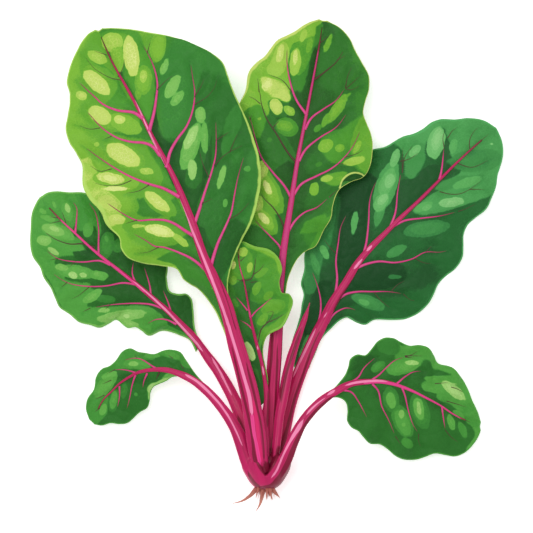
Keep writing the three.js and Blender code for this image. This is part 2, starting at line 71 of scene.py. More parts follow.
STALK_SIDES = 44
STALK_STEP = 1.7  # between the rings of a stalk
RIB_DEPTH_RATIO = 0.6  # depth over width of a stalk that bears a blade
BARE_STALK_DEPTH_RATIO = 0.85
RIB_LEAST_DEPTH = 2.4
STALK_LEAST_HEIGHT = 0.15
CROWN_LEAST_HEIGHT = 0.1
FLUTE_DEPTH = 0.055  # part of the stalk's half width
FINE_RIB_DEPTH = 0.018
STALK_WAVE = 0.25  # slight bends along a stalk
STALK_WAVE_LENGTH = 16.0
STROKE_TAPER = 5.0  # length over which a painted line thins out at its ends

VEIN_STEP = 1.5  # between the rings of a vein
VEIN_END_WIDTH = 0.6
TWIG_WIDTHS = (1.05, 0.5)
BROWN_VEIN_RATIO = 0.8  # width of a brown vein over that of a red one
VEIN_ROOT_DEPTH = 0.7  # by which a vein starts below the middle of the midrib
VEIN_LIFT = 0.12  # of a vein's centre over the middle of the blade

# ---- The leaves ----
#
# line         centre line of the stalk and midrib, from the crown to the tip of the blade
# widths       width of the stalk at even steps along that line
# rib_end      part of the line's length at which the midrib fades out
# foot         part of the line's length at which the blade begins
# left         margin left of the midrib, seen from above with the tip upwards, from foot to tip
# right        margin right of it
# left_rise    height of the left margin at even steps along it, which gives its ruffles
# right_rise   height of the right margin
# veins        side veins, each from the midrib outwards
# twigs        finer veins that leave them
# vein_width   width of a side vein at the midrib
# brown_veins  which of the side veins are brown instead of red
# gleams       painted highlights: pale lines along the stalk, seen from above, with half widths from end to end
# glows        painted highlights: hot pink lines, written alike
# blushes      painted light: bright red bands on the lit side beside the hot pink lines, written alike
# roses        dull pink lines, written alike
# grooves      deep red lines, written alike: partly the stalk's own dark striping, partly painted shade on its shaded flank and between the stalks
# rim          width of the painted highlight, a pale line at the margin, and where it changes: x, y, reach, change
# folds        lines painted with the margin's highlight, as of a margin folded over, though the blade itself isn't folded, with their width
# cells        cells of the blade along the midrib and across it
# puff         height of the blade between its veins
# tones        paint of the blade, with painted light and shade: the halves lit and shaded, paler towards the margin, and painted shade by the midrib and veins; a tone runs from 0, the deepest green, to 1, cream
# shades       broad soft areas of painted light and painted shade: x, y, length, width, tilt in degrees, tone
# zones        areas with a clear edge, of painted light and painted shade as well as the leaf's own paler and deeper greens: tone and outline, later ones over earlier ones
# patches      oval patches with a crisp edge, written as the shades are: pale ones painted highlights on and around the blisters, dark ones painted shade
# cool         outlines of the areas whose greens are cooler

TALL_LEFT_LEAF = {
    "name": "tall_left_leaf",
    "line": [
        (-2, -5, 27), (-6, 12, 32.5), (-9.4, 40, 34.5), (-13.7, 65, 37), (-19.5, 87, 40), (-25.3, 107, 43),
        (-35, 143, 48), (-51, 177, 51), (-63, 212, 52), (-77, 246, 51), (-95, 280, 46), (-113, 315, 37),
        (-132, 349, 23), (-143, 374, 11),
    ],
    "widths": [14, 17, 15.8, 14.6, 12, 9.2, 7.2, 5.6, 4.3, 3.3, 2.5, 1.7, 0.5],
    "rib_end": 0.985,
    "foot": 0.28,
    "left": [
        (-28.8, 100), (-35.8, 119.6), (-45, 138.5), (-56.8, 152.6), (-63, 156.2), (-69.2, 160.8),
        (-75.4, 169.8), (-89, 172.4), (-105, 175), (-117.6, 180), (-122.6, 187), (-124, 195.6), (-135, 207),
        (-140, 218), (-150, 230), (-155.4, 240.4), (-156.2, 259), (-161, 268), (-166.8, 277.2), (-170, 288),
        (-168.8, 300), (-167, 311), (-167, 320.4), (-169.4, 329), (-167.7, 340), (-163.6, 352), (-158, 363),
        (-151.5, 371.6), (-145.5, 375),
    ],
    "right": [
        (-19, 104), (-26, 124), (-31, 143), (-32, 158), (-28, 175), (-20, 194), (-11.6, 210), (-6.4, 228),
        (-3.8, 245), (-4.6, 261), (-9.4, 279), (-15.4, 295), (-21, 308), (-27.4, 322), (-32.4, 335.2),
        (-36.6, 346.4), (-46, 354), (-58, 360), (-69, 365), (-79.2, 368), (-99, 372), (-112, 374.4),
        (-126, 376), (-140, 376.4),
    ],
    "left_rise": [42, 41, 36, 41, 36, 43, 37, 42, 35, 38, 29, 27, 16, 13],
    "right_rise": [43, 44, 47, 43, 48, 43, 47, 41, 44, 34, 36, 25, 22, 12],
    "veins": [
        [(-45, 163), (-52, 170), (-62, 178), (-72, 183), (-86, 188), (-94, 189), (-102, 194), (-115, 201)],
        [(-58, 196), (-68, 202), (-77, 208), (-85, 211), (-97, 211.5), (-109, 211), (-120, 216),
         (-138, 228)],
        [(-73, 231), (-86, 238), (-99, 242), (-112, 247), (-122, 252), (-135, 260), (-156, 275)],
        [(-89, 266), (-96, 274), (-103, 277), (-114, 278), (-125, 281), (-138, 289), (-154, 306)],
        [(-104, 298), (-112, 303), (-126, 305), (-138, 310), (-146, 317), (-161, 331)],
        [(-47, 168), (-44, 180), (-40, 192), (-34, 205), (-29, 217), (-26, 233), (-23, 248), (-17, 269)],
        [(-61, 206), (-56, 220), (-51, 236), (-45, 254), (-42, 268), (-42, 299)],
        [(-84, 256), (-81, 269), (-75, 280), (-67, 291), (-62, 304), (-60, 320), (-62, 334), (-64, 348)],
        [(-99, 287), (-95, 302), (-93, 315), (-92, 328), (-95, 342), (-101, 355), (-106, 364)],
    ],
    "twigs": [
        [(-91, 188), (-100, 184), (-110, 183)], [(-110, 211), (-120, 208)],
        [(-114, 245), (-125, 241), (-138, 241), (-149, 244)], [(-131, 255), (-141, 253), (-151, 259)],
        [(-99, 241), (-108, 236), (-120, 234)], [(-141, 290), (-150, 289), (-161, 293)],
        [(-131, 283), (-138, 280)], [(-123, 331), (-132, 333), (-140, 337), (-147, 342), (-156, 354)],
        [(-126, 334), (-122, 341), (-120, 351)], [(-136, 353), (-148, 357)],
        [(-30, 212), (-22, 217), (-12, 228)], [(-48, 248), (-53, 259), (-56, 271)],
        [(-43, 258), (-34, 267), (-17, 276)], [(-30, 269), (-27, 277), (-23, 286)], [(-42, 279), (-30, 287)],
        [(-54, 225), (-44, 230)], [(-60, 310), (-49, 317), (-43, 325), (-41, 333)],
        [(-60, 317), (-54, 327), (-52, 333)], [(-92, 323), (-84, 331), (-77, 336)],
        [(-101, 354), (-98, 365)],
    ],
    "vein_width": 3.8,
    "painted_gleams": [
        ([(-112, 317), (-97, 282), (-82.5, 250), (-69.5, 220), (-57, 190), (-45, 160), (-34, 130),
          (-24.3, 99), (-17.8, 77), (-13.4, 61), (-11, 44)], [0.6, 0.8, 1.0, 1.2, 1.3, 1.6]),
    ],
    "painted_glows": [([(-11.4, 47), (-9.5, 30), (-7.4, 20), (-5.6, 10), (-4.1, 0.5)], [1.6, 1.4, 1.3, 1.4])],
    "blushes": [([(-10.5, 60), (-7.6, 42), (-5.6, 26), (-3.6, 13), (-2.6, 3)], [0.8, 1.5, 1.5, 1.3])],
    "grooves": [
        ([(-28.5, 106), (-25.5, 91), (-21.8, 75), (-17.6, 58), (-13.4, 40), (-10.8, 25), (-9.2, 10),
          (-7, 1)], [0.4, 0.9, 1.1, 1.2, 1.2, 1.4, 2.0]),
        ([(-16.4, 92), (-14, 81), (-11.2, 70), (-8.4, 59), (-6.4, 50), (-4, 40), (-2.3, 29), (-1.2, 18),
          (-0.8, 5)], [0.4, 1.0, 1.0, 0.9, 0.8, 0.8]),
        ([(-61, 218), (-50, 192), (-40, 165), (-31, 138), (-24, 115)], [0.3, 0.5, 0.5]),
    ],
    "rim": (0.9, [(-146, 228, 42, 2.8), (-10, 245, 80, 1.5), (-60, 364, 42, -0.8)]),
    "cool": [[(-88, 350), (-76, 370), (-60, 367), (-40, 352), (-20, 322), (-8, 282), (-4, 250), (-10, 215),
              (-18, 180), (-22, 140), (-26, 104), (-45, 155), (-63, 210), (-84, 252), (-90, 300),
              (-93, 335)]],
    "cells": (230, 180),
    "puff": 1.5,
    "tones": {"left": 0.62, "right": 0.28, "left_margin": 0.10, "right_margin": 0.06,
              "left_rib": 0.06, "right_rib": 0.08, "vein": 0.12},
    "shades": [
        (-140, 250, 26, 40, 0, 0.70), (-120, 362, 60, 22, -10, 0.66), (-25, 300, 30, 60, 20, 0.24),
        (-75, 345, 34, 30, 0, 0.42), (-22, 240, 16, 70, 5, 0.32), (-130, 232, 40, 40, 0, 0.74),
    ],
    "zones": [
        (0.46, [(-150, 345), (-140, 345), (-130, 336), (-119, 319), (-108, 302), (-122, 306), (-136, 311),
            (-128, 319), (-126, 330), (-136, 341)]),
        (0.38, [(-107, 300), (-96, 279), (-106, 281), (-122, 283), (-133, 288), (-118, 286), (-108, 290)]),
        (0.47, [(-92, 270), (-76, 236), (-88, 241), (-87, 248), (-91, 258), (-98, 268), (-100, 276)]),
        (0.34, [(-109, 229), (-107, 222), (-109, 217), (-100, 214), (-90, 214), (-82, 218), (-91, 222),
            (-97, 227), (-103, 230)]),
        (0.42, [(-76, 231), (-62, 202), (-72, 206), (-81, 212), (-76, 220), (-80, 228)]),
        (0.34, [(-61, 199), (-48, 168), (-58, 176), (-70, 182), (-84, 187), (-76, 192), (-66, 190),
            (-70, 197)]),
        (0.37, [(-92, 178), (-80, 184), (-66, 179), (-50, 165), (-45, 154), (-58, 152), (-70, 162),
            (-76, 172)]),
        (0.34, [(-70, 162), (-54, 156), (-42, 150), (-34, 128), (-24, 102), (-40, 108), (-60, 150)]),
        (0.64, [(-110, 373), (-93, 373), (-88, 366), (-87, 358), (-91, 350), (-96, 346), (-98, 353),
            (-104, 364)]),
        (0.50, [(-118, 374), (-109, 373), (-103, 360), (-96, 345), (-94, 330), (-96, 310), (-100, 296),
            (-110, 315), (-124, 344)]),
        (0.38, [(-88, 371), (-70, 366), (-57, 360), (-50, 350), (-55, 335), (-59, 322), (-61, 305),
            (-68, 292), (-76, 282), (-86, 282), (-90, 295), (-91, 315), (-91, 335), (-94, 346), (-88, 356)]),
        (0.10, [(-94, 308), (-91, 296), (-90, 286), (-84, 279), (-74, 277), (-68, 282), (-63, 296),
            (-58, 310), (-51, 308), (-47, 296), (-46, 262), (-50, 246), (-54, 232), (-58, 214), (-62, 206),
            (-72, 228), (-86, 258), (-99, 288)]),
        (0.27, [(-61, 311), (-52, 311), (-47, 300), (-46, 284), (-50, 268), (-53, 256), (-55, 243),
            (-61, 238), (-67, 241), (-68, 249), (-64, 262), (-66, 292)]),
        (0.12, [(-44, 254), (-43, 268), (-42, 279), (-36, 286), (-30, 291), (-30, 282), (-35, 271),
            (-38, 263)]),
        (0.36, [(-36, 262), (-37, 275), (-32, 300), (-24, 310), (-20, 296), (-26, 280)]),
        (0.16, [(-32, 210), (-24, 212), (-17, 207), (-17, 200), (-23, 190), (-28, 178), (-38, 160),
            (-44, 158), (-44, 172), (-40, 190)]),
        (0.13, [(-61, 206), (-53, 214), (-50, 200), (-46, 190), (-42, 180), (-45, 166), (-53, 186)]),
        (0.90, [(-158, 263), (-158, 240), (-147, 225), (-139, 212), (-132, 206), (-125, 209), (-123, 217),
            (-128, 228), (-136, 240), (-143, 252), (-150, 264)]),
    ],
    "patches": [
        (-91.5, 360, 27, 14, 82, 0.66), (-78, 312, 56, 27, 78, 0.36), (-45, 222, 40, 26, 76, 0.25),
        (-144, 333, 36, 19, -42, 0.62), (-131, 364, 19, 17, 0, 0.84), (-127, 354, 31, 11, -78, 0.72),
        (-144, 351, 19, 10, -28, 0.84), (-140, 299, 36, 19, -35, 0.62), (-119, 293, 30, 15, -25, 0.71),
        (-120, 266, 40, 21, -26, 0.64), (-104, 331, 26, 15, 86, 0.64), (-127, 245, 42, 14, -8, 0.70),
        (-97, 200, 50, 16, -16, 0.60), (-90, 226, 34, 16, -38, 0.60), (-134, 226, 24, 16, -25, 0.87),
        (-126, 212, 15, 8, -8, 0.92), (-114.5, 352, 36, 13.5, -82, 0.93), (-144, 329, 29, 13, -42, 0.92),
        (-157, 318, 11, 8, -25, 0.88), (-141, 301, 22, 14, -35, 0.91), (-124, 297, 10, 7, 0, 0.93),
        (-104, 334, 12, 6, 85, 0.86), (-121, 267, 33, 16, -28, 0.92), (-101, 253, 12, 6, -8, 0.86),
        (-132, 247, 25, 9, -10, 0.95), (-127, 238, 24, 4, 0, 0.98), (-144, 276, 5, 4, 0, 0.80),
        (-92, 227, 25, 10, -38, 0.92), (-90, 202, 26, 10, -14, 0.96), (-72, 194, 17, 6, -38, 0.84),
        (-108, 206, 14, 3, 2, 0.88), (-86, 342, 15, 6, 68, 0.78), (-79, 325, 23, 10, 62, 0.79),
        (-75, 315, 15, 8, 50, 0.76), (-55, 301, 14, 9, 90, 0.78), (-63.5, 274, 43, 14, 72, 0.74),
        (-51.6, 281, 27, 6.5, 92, 0.74), (-62, 254, 18, 8, 92, 0.90), (-63, 282, 24, 8, 62, 0.94),
        (-37, 248, 21, 6, 72, 0.80), (-34, 226, 8, 4, 85, 0.66), (-15, 255, 6, 5, 0, 0.60),
        (-108, 320, 12, 6, 85, 0.64),
    ],
}

TALL_MIDDLE_LEAF = {
    "name": "tall_middle_leaf",
    "line": [
        (3, -9, 19), (4, 12, 15.5), (6, 35, 15.5), (6.4, 65, 17), (8, 91, 19.5), (10.3, 121, 22),
        (12, 149, 24.5), (16, 186, 27.5), (22, 224, 30), (28, 263, 31), (33, 289, 30), (38, 315, 27),
        (42, 336, 21), (46, 358, 13), (50, 383, 5),
    ],
    "widths": [10, 11, 11.9, 12.2, 10.5, 7.2, 5.9, 4.9, 3.7, 2.9, 2.2, 1.5, 0.5],
    "rib_end": 0.985,
    "foot": 0.38,
    "left": [
        (9, 140), (8, 158), (-3, 172), (-20, 184), (-27, 204), (-28, 229), (-28, 253), (-28, 275),
        (-25, 296), (-21.5, 311), (-16.6, 322), (-13.4, 338.4), (-7.6, 346), (0.2, 351.8), (5.8, 359.4),
        (11.2, 365.8), (19, 370), (26.6, 373.7), (33.4, 378.9), (40, 382), (47, 384),
    ],
    "right": [
        (15.8, 139), (18.2, 155.8), (22.8, 169.4), (28.6, 179.2), (35, 185), (43, 189), (50, 203), (56, 213),
        (58, 224), (63, 237), (73, 244), (83, 248), (89, 256), (92, 270), (90.4, 285), (87.4, 293.6),
        (84, 303), (86, 313.8), (89, 324), (89, 335), (83, 347), (77, 358), (72, 368), (64, 377), (53, 383),
    ],
    "left_rise": [24, 25, 27, 28, 29, 28, 26, 27, 20, 20, 11, 8],
    "right_rise": [24, 23, 26, 21, 27, 29, 24, 28, 21, 25, 16, 17, 8, 7],
    "veins": [
        [(16, 177), (13, 188), (5, 197), (-2, 204), (-10, 213)],
        [(18, 197), (14, 211), (7, 222), (0, 229), (-5, 236)],
        [(23, 229), (17, 240), (6, 253), (-3, 265), (-8, 280), (-12, 296), (-16, 305)],
        [(28, 259), (19, 270), (10, 285), (1, 299), (-3, 311), (-5, 322), (-9, 326)],
        [(36, 301), (27, 314), (22, 328), (19, 345), (19, 361)],
        [(20, 202), (26, 211), (34, 218), (44, 222), (55, 231)],
        [(24, 232), (31, 242), (44, 249), (56, 255), (66, 263), (75, 274), (83, 291)],
        [(29, 262), (35, 272), (47, 282), (61, 291), (71, 304)],
        [(34, 289), (40, 299), (51, 307), (61, 314), (69, 325)],
        [(40, 330), (52, 339), (62, 348), (68, 358)],
    ],
    "twigs": [
        [(23, 321), (15, 331), (1, 337)], [(-4, 311), (-9, 315), (-15, 318)],
        [(-5, 321), (-5.6, 328), (-6.6, 334)], [(-12.6, 297), (-11.4, 302.5)], [(55, 231), (63, 238)],
        [(69, 324), (74, 323), (82, 327)], [(69, 325), (71, 335), (75, 344)], [(62, 349), (70, 353)],
        [(7, 291), (13, 297)], [(48, 364), (56, 371)], [(68, 265), (78, 268), (85, 272)],
        [(62, 260), (71, 259)], [(69, 324), (76, 330), (82, 336)],
    ],
    "vein_width": 2.9,
    "brown_veins": [1, 3, 9],
    "roses": [
        ([(46, 358), (38, 315), (33, 289), (28, 263), (22, 224), (16, 186), (12, 149), (10, 118)],
          [0.6, 0.8, 1.1, 1.6, 2.2, 2.6, 2.2]),
    ],
    "grooves": [
        ([(6.4, 116), (6, 104), (5.2, 90), (4, 80), (3, 70), (2.4, 60), (2.1, 48), (1.9, 34)],
          [1.4, 1.3, 1.2, 1.1, 0.8]),
        ([(10.8, 106), (10.4, 90), (9.8, 74), (9.2, 60), (8.3, 46), (7.6, 30), (6.2, 18), (5, 4)],
          [0.5, 1.0, 0.9, 0.9, 1.2, 1.5]),
        ([(15.5, 118), (14.2, 96), (12.6, 76)], [0.5, 0.6]),
    ],
    "rim": (0.5, [(-8, 345, 44, 2.0), (25, 373, 36, 1.5)]),
    "folds": [([(64, 239), (66, 245), (70, 249.5), (76, 252), (82, 251.3), (86, 248.5)], 1.1)],
    "cells": (230, 130),
    "puff": 1.3,
    "tones": {"left": 0.26, "right": 0.20, "left_margin": 0.20, "right_margin": 0.10,
              "left_rib": 0.08, "right_rib": 0.08, "vein": 0.08},
    "shades": [
        (45, 312, 50, 30, 70, 0.15), (60, 345, 50, 40, -60, 0.27), (30, 240, 16, 60, -10, 0.16),
        (45, 200, 30, 30, 30, 0.32), (82, 335, 16, 50, 0, 0.32), (50, 262, 40, 20, 20, 0.24),
    ],
    "zones": [
        (0.75, [(52, 385), (38, 385), (22, 375), (8, 369), (-4, 356), (-16, 346), (-20, 325), (-32, 304),
            (-22, 302), (-12, 308), (-5, 303), (2, 301), (4, 306), (3, 313), (10, 317), (18, 318), (22, 324),
            (20, 340), (21, 352), (24, 362), (33, 366), (42, 369), (45, 377)]),
        (0.54, [(21, 352), (24, 362), (33, 366), (42, 369), (41, 358), (37, 345), (33, 338), (28, 335),
            (22, 342)]),
        (0.36, [(21, 345), (28, 335), (33, 338), (38, 347), (36, 332), (31, 322), (26, 321), (23, 330)]),
        (0.10, [(43, 361), (39, 350), (36, 335), (31, 320), (27, 322), (24, 316), (35, 301), (39, 320),
            (43, 342), (45, 355)]),
        (0.42, [(44, 378), (43, 368), (41, 359), (46, 364), (50, 380)]),
        (0.50, [(-14, 306), (-8, 310), (-2, 308), (1, 299), (-1, 290), (-3, 282), (-8, 282), (-12, 292)]),
        (0.26, [(0, 290), (6, 282), (13, 275), (21, 266), (18, 258), (8, 255), (0, 262), (-3, 272),
            (-4, 283)]),
        (0.12, [(8, 300), (14, 290), (22, 276), (28, 266), (33, 290), (34, 300), (27, 312), (22, 314),
            (18, 300)]),
        (0.10, [(20, 262), (26, 258), (25, 246), (22, 236), (14, 246), (8, 253)]),
        (0.60, [(-6, 262), (-12, 250), (-12, 225), (-22, 205), (-14, 200), (0, 203), (10, 199), (10, 210),
            (8, 222), (14, 226), (12, 238), (2, 252)]),
        (0.24, [(-28, 196), (-20, 204), (-8, 207), (4, 198), (12, 187), (14, 176), (4, 166), (-20, 178)]),
        (0.44, [(85, 303), (76, 297), (66, 290), (56, 287), (48, 281), (47, 272), (54, 263), (64, 259),
            (76, 257), (86, 250), (93, 258), (95, 275), (91, 290)]),
        (0.63, [(86, 303), (80, 296), (75, 284), (73, 272), (77, 262), (87, 251), (95, 262), (95, 280),
            (90, 294)]),
        (0.93, [(-3.4, 333), (0, 334.4), (6, 333.5), (13, 330), (18.4, 326.6), (21, 320), (22, 314.6),
            (19, 312.4), (11, 315), (4, 318.6), (-1, 322.6), (-2.8, 327)]),
        (0.46, [(30, 200), (36, 200), (50, 204), (52, 216), (44, 214), (34, 209)]),
        (0.46, [(42, 196), (38, 186), (48, 191), (56, 203), (61, 214), (61, 227), (57, 218), (50, 209)]),
        (0.60, [(48, 248), (58, 252), (70, 252), (66, 246), (62, 241), (52, 243)]),
    ],
    "patches": [
        (75, 247.6, 19, 5.5, 13, 0.03), (13, 349, 31, 14, 75, 0.80), (26, 347, 25, 10, 84, 0.80),
        (33, 370, 13, 5, 72, 0.82), (38, 362, 16, 5, 80, 0.64), (9, 341, 16, 12, 0, 0.80),
        (19, 291, 20, 16, -20, 0.42), (3, 237, 46, 19, -64, 0.60), (3.5, 237.5, 29, 11.5, -64, 0.72),
        (-1, 213, 34, 16, -50, 0.60), (-1, 212.5, 23, 11, -48, 0.74), (13, 354, 17, 6, 78, 0.94),
        (26, 351, 16, 4, 84, 0.96), (2, 327.4, 12, 9, 60, 0.96), (9.5, 308.5, 15, 10.5, -60, 0.89),
        (21, 305, 11, 7, -30, 0.76), (17, 292, 14, 9, -15, 0.62), (54, 363, 16, 5, 65, 0.64),
        (62, 307, 30, 9, 55, 0.64), (71, 318, 8, 3, 40, 0.58), (52, 297, 13, 5, 62, 0.62),
        (45, 290, 8, 5, 45, 0.44), (52, 275, 14, 11, 25, 0.72), (64, 273, 9, 7, 20, 0.66),
        (79, 274, 14, 5, 62, 0.76), (77, 262, 20, 7, 15, 0.82), (53, 247, 11, 6, 8, 0.80),
        (42, 238, 12, 8, 80, 0.68), (64, 247, 10, 4, 10, 0.64), (2, 239, 13, 6, -65, 0.97),
        (-4, 257, 11, 7, 60, 0.86), (-1, 213, 13, 6, -45, 0.97), (46, 259, 6, 4, 20, 0.36),
        (-2, 252, 20, 8, 75, 0.87), (-6, 224, 17, 9, 90, 0.86), (-5, 298, 3, 2, 0, 0.68),
        (4, 280, 4, 4, 0, 0.36),
    ],
}

RIGHT_LEAF = {
    "name": "right_leaf",
    "line": [
        (8.5, -9, 12), (12.6, 14, 6.2), (16.5, 31, 6), (21.1, 52, 6), (28.4, 76, 6.2), (36, 95, 6.8),
        (43, 110, 7.5), (50.5, 125, 9), (58, 140, 11), (69, 157, 12.5), (80, 175, 14), (91, 188, 15),
        (103, 200, 15.5), (116, 213, 15.5), (132, 228, 15), (148, 244, 13), (163, 259, 10), (178, 273, 7),
        (199, 291, 2.5),
    ],
    "widths": [11, 11.5, 11, 11.6, 10.6, 8.4, 6.8, 5.4, 4, 2.9, 2.2, 1.6, 0.7],
    "rib_end": 0.955,
    "foot": 0.27,
    "left": [
        (28, 77), (24, 90), (22.8, 103), (26.1, 115), (29, 123), (30.9, 131), (32, 140), (33.4, 148),
        (31.2, 157), (34, 169), (34, 181), (38, 196), (44, 212), (53, 227), (64, 241), (73, 255), (83, 266),
        (93, 272), (103, 274), (117.7, 282.5), (127, 285.3), (135.7, 289.6), (143, 295), (152, 298),
        (164, 298), (176, 299), (187.2, 297.6), (197, 292),
    ],
    "right": [
        (37.6, 84), (42.8, 96.6), (48.9, 110.2), (57.6, 119.4), (64.4, 125.6), (71, 128), (78, 124),
        (86, 121.8), (94, 126), (111, 126), (121, 127), (132, 132), (140.5, 139.5), (145, 148), (149, 157),
        (156, 164), (164.4, 170.8), (169.6, 179.8), (170.1, 190), (170.6, 199.6), (174.2, 208), (180.9, 214),
        (189.4, 220.4), (194.6, 230), (198.8, 240.6), (200.3, 251.7), (204, 265), (204, 278), (200.5, 287.8),
    ],
    "left_rise": [7, 9, 11, 9, 12, 13, 12, 10, 6, 9, 3, 5, 1, 2],
    "right_rise": [6, 2, 6, 0, 5, 0, 6, 0, 6, 0, 5, 0, 3, 1],
    "veins": [
        [(44, 117), (47, 128), (48, 140), (46, 152), (40, 169)],
        [(61, 150), (62, 162), (61, 176), (63, 192), (65, 205), (71, 218)],
        [(84, 180), (87, 192), (89, 210), (90, 228), (93, 239), (97, 247)],
        [(107, 204), (112, 218), (114, 236), (117, 253)],
        [(150, 246), (152, 256), (154, 275)],
        [(53.5, 123), (58, 129.5), (63, 133.4), (70, 136), (79, 134)],
        [(62, 143), (70, 148), (80, 150), (92, 150), (106, 150), (120, 148)],
        [(80, 171), (88, 174), (98, 176), (112, 175), (126, 178), (138, 184), (150, 184), (160, 186)],
        [(108, 205), (120, 211), (134, 213), (150, 215), (166, 219)],
    ],
    "twigs": [
        [(61, 183), (55, 189), (50, 196)], [(138, 184), (144, 190)], [(128, 179), (136, 175), (144, 174)],
        [(94, 149), (100, 142), (109, 135)], [(119, 148), (125, 143), (130, 142)],
        [(109, 151), (114, 156), (121, 160)], [(150, 236), (158, 234), (167, 234), (176, 238), (188, 247)],
        [(176, 238), (190, 238)], [(176, 273), (176, 280), (180, 288), (185, 292)],
        [(176, 272), (186, 280), (194, 287)], [(166, 260), (178, 257), (194, 264)],
        [(157, 282), (161, 288), (166, 292)], [(154, 274), (153, 282), (155, 290)],
        [(118, 252), (120, 265), (128, 277)], [(118, 252), (118, 268), (119, 276)],
        [(166, 219), (172, 221), (182, 226)], [(116, 262), (124, 264), (133, 270)],
    ],
    "vein_width": 2.8,
    "painted_gleams": [
        ([(92, 190), (87, 184.5)], [1.1, 1.1]),
        ([(84, 178.5), (79.5, 173), (76, 169)], [1.1, 1.2]),
        ([(54, 133), (50, 127)], [0.6, 0.6]),
        ([(44, 119), (38, 106.5), (31.5, 93), (26.5, 82), (24, 76)], [0.6, 1.0, 1.0, 0.8]),
    ],
    "grooves": [
        ([(48.7, 119), (43.7, 109), (39.8, 100), (36.4, 90), (33.2, 80), (29.6, 70), (26, 60), (23.4, 50),
          (21, 40), (18.3, 30), (15.5, 20), (11.5, 10), (8, 3)], [0.5, 0.8, 1.1, 1.2, 1.3, 1.5, 2.0, 2.2]),
        ([(15.4, 52), (13.4, 46), (11.6, 38), (10, 30), (8.6, 20), (7, 10)], [0.5, 0.9, 0.9, 1.0]),
        ([(82, 168), (73, 156), (65, 145), (58, 132)], [0.6, 1.2, 1.0, 0.6]),
    ],
    "rim": (1.1, [(135, 290, 50, 0.9)]),
    "cells": (220, 150),
    "puff": 1.3,
    "tones": {"left": 0.20, "right": 0.20, "left_margin": 0.04, "right_margin": 0.06,
              "left_rib": 0.04, "right_rib": 0.04, "vein": 0.06},
    "shades": [(60, 150, 40, 60, -20, 0.12), (120, 160, 70, 24, 10, 0.14), (100, 134, 70, 12, 0, 0.24)],
    "zones": [
        (0.56, [(111, 277), (122, 285), (134, 289), (144, 297), (160, 301), (180, 301), (196, 296),
            (206, 280), (206, 262), (200, 245), (194, 233), (185, 229), (170, 224), (154, 219), (134, 216),
            (127, 219), (138, 230), (150, 238), (158, 246), (168, 253), (165, 260), (159, 268), (156, 280),
            (153, 291), (146, 290), (140, 280), (136, 268), (133, 256), (126, 248), (121, 250), (120, 262),
            (117, 272)]),
        (0.46, [(156, 262), (168, 270), (180, 272), (201, 270), (204, 262), (196, 256), (180, 253),
            (165, 255)]),
        (0.50, [(120, 249), (122, 264), (128, 274), (136, 278), (138, 266), (133, 254), (126, 247)]),
        (0.50, [(150, 244), (146, 238), (160, 238), (180, 244), (188, 250), (176, 250), (162, 248)]),
        (0.20, [(154, 290), (157, 282), (161, 273), (157, 266), (152, 262), (149, 272), (152, 282)]),
        (0.14, [(110, 234), (118, 246), (128, 247), (140, 258), (148, 258), (148, 247), (138, 236),
            (124, 222), (112, 212)]),
        (0.02, [(61, 238), (65, 228), (63, 212), (62, 190), (62, 165), (66, 158), (78, 172), (85, 184),
            (87, 205), (90, 228), (96, 247), (88, 252), (74, 246)]),
        (0.40, [(33, 158), (30, 166), (33, 182), (42, 206), (54, 226), (61, 236), (62, 224), (59, 205),
            (57, 192), (50, 178), (47, 165), (44, 150), (36, 148)]),
        (0.02, [(66, 151), (76, 166), (84, 173), (100, 175), (116, 174), (122, 167), (118, 158), (100, 152),
            (80, 151)]),
        (0.26, [(95, 275), (92, 262), (92, 250), (97, 248), (93, 236), (91, 222), (93, 212), (99, 212),
            (106, 228), (113, 250), (116, 270), (108, 277)]),
        (0.06, [(40, 146), (50, 160), (58, 158), (58, 146), (50, 128), (46, 122), (38, 108), (33, 118)]),
    ],
    "patches": [
        (104, 240, 46, 18, 72, 0.60), (98, 216, 20, 8, 75, 0.50), (89, 141, 32, 11, -20, 0.42),
        (139, 204, 40, 14, 8, 0.40), (113, 185, 20, 8, 28, 0.46), (111, 163, 12, 4, 0, 0.34),
        (43, 174, 22, 6, -72, 0.52), (162, 275, 13, 7, 76, 0.66), (136, 223, 17, 7, 25, 0.68),
        (147, 278, 29, 15, 76, 0.84), (148, 281, 20, 9, 74, 0.95), (129, 271, 13, 7, 50, 0.86),
        (112, 265, 16, 7, 68, 0.86), (105, 244, 26, 12, 66, 0.76), (100, 227, 18, 11, 60, 0.78),
        (107, 245, 13, 8, 70, 0.92), (101, 229, 11, 7, 50, 0.94), (77, 210, 22, 6, 82, 0.66),
        (51, 184, 14, 6, -62, 0.72), (174, 244, 27, 8, 18, 0.72), (160, 227, 22, 8, 8, 0.94),
        (139, 222, 9, 5, 25, 0.78), (85, 141, 11, 5, -12, 0.68), (195, 277, 3, 2, 0, 0.98),
        (33, 102, 22, 4, 70, 0.52),
    ],
}

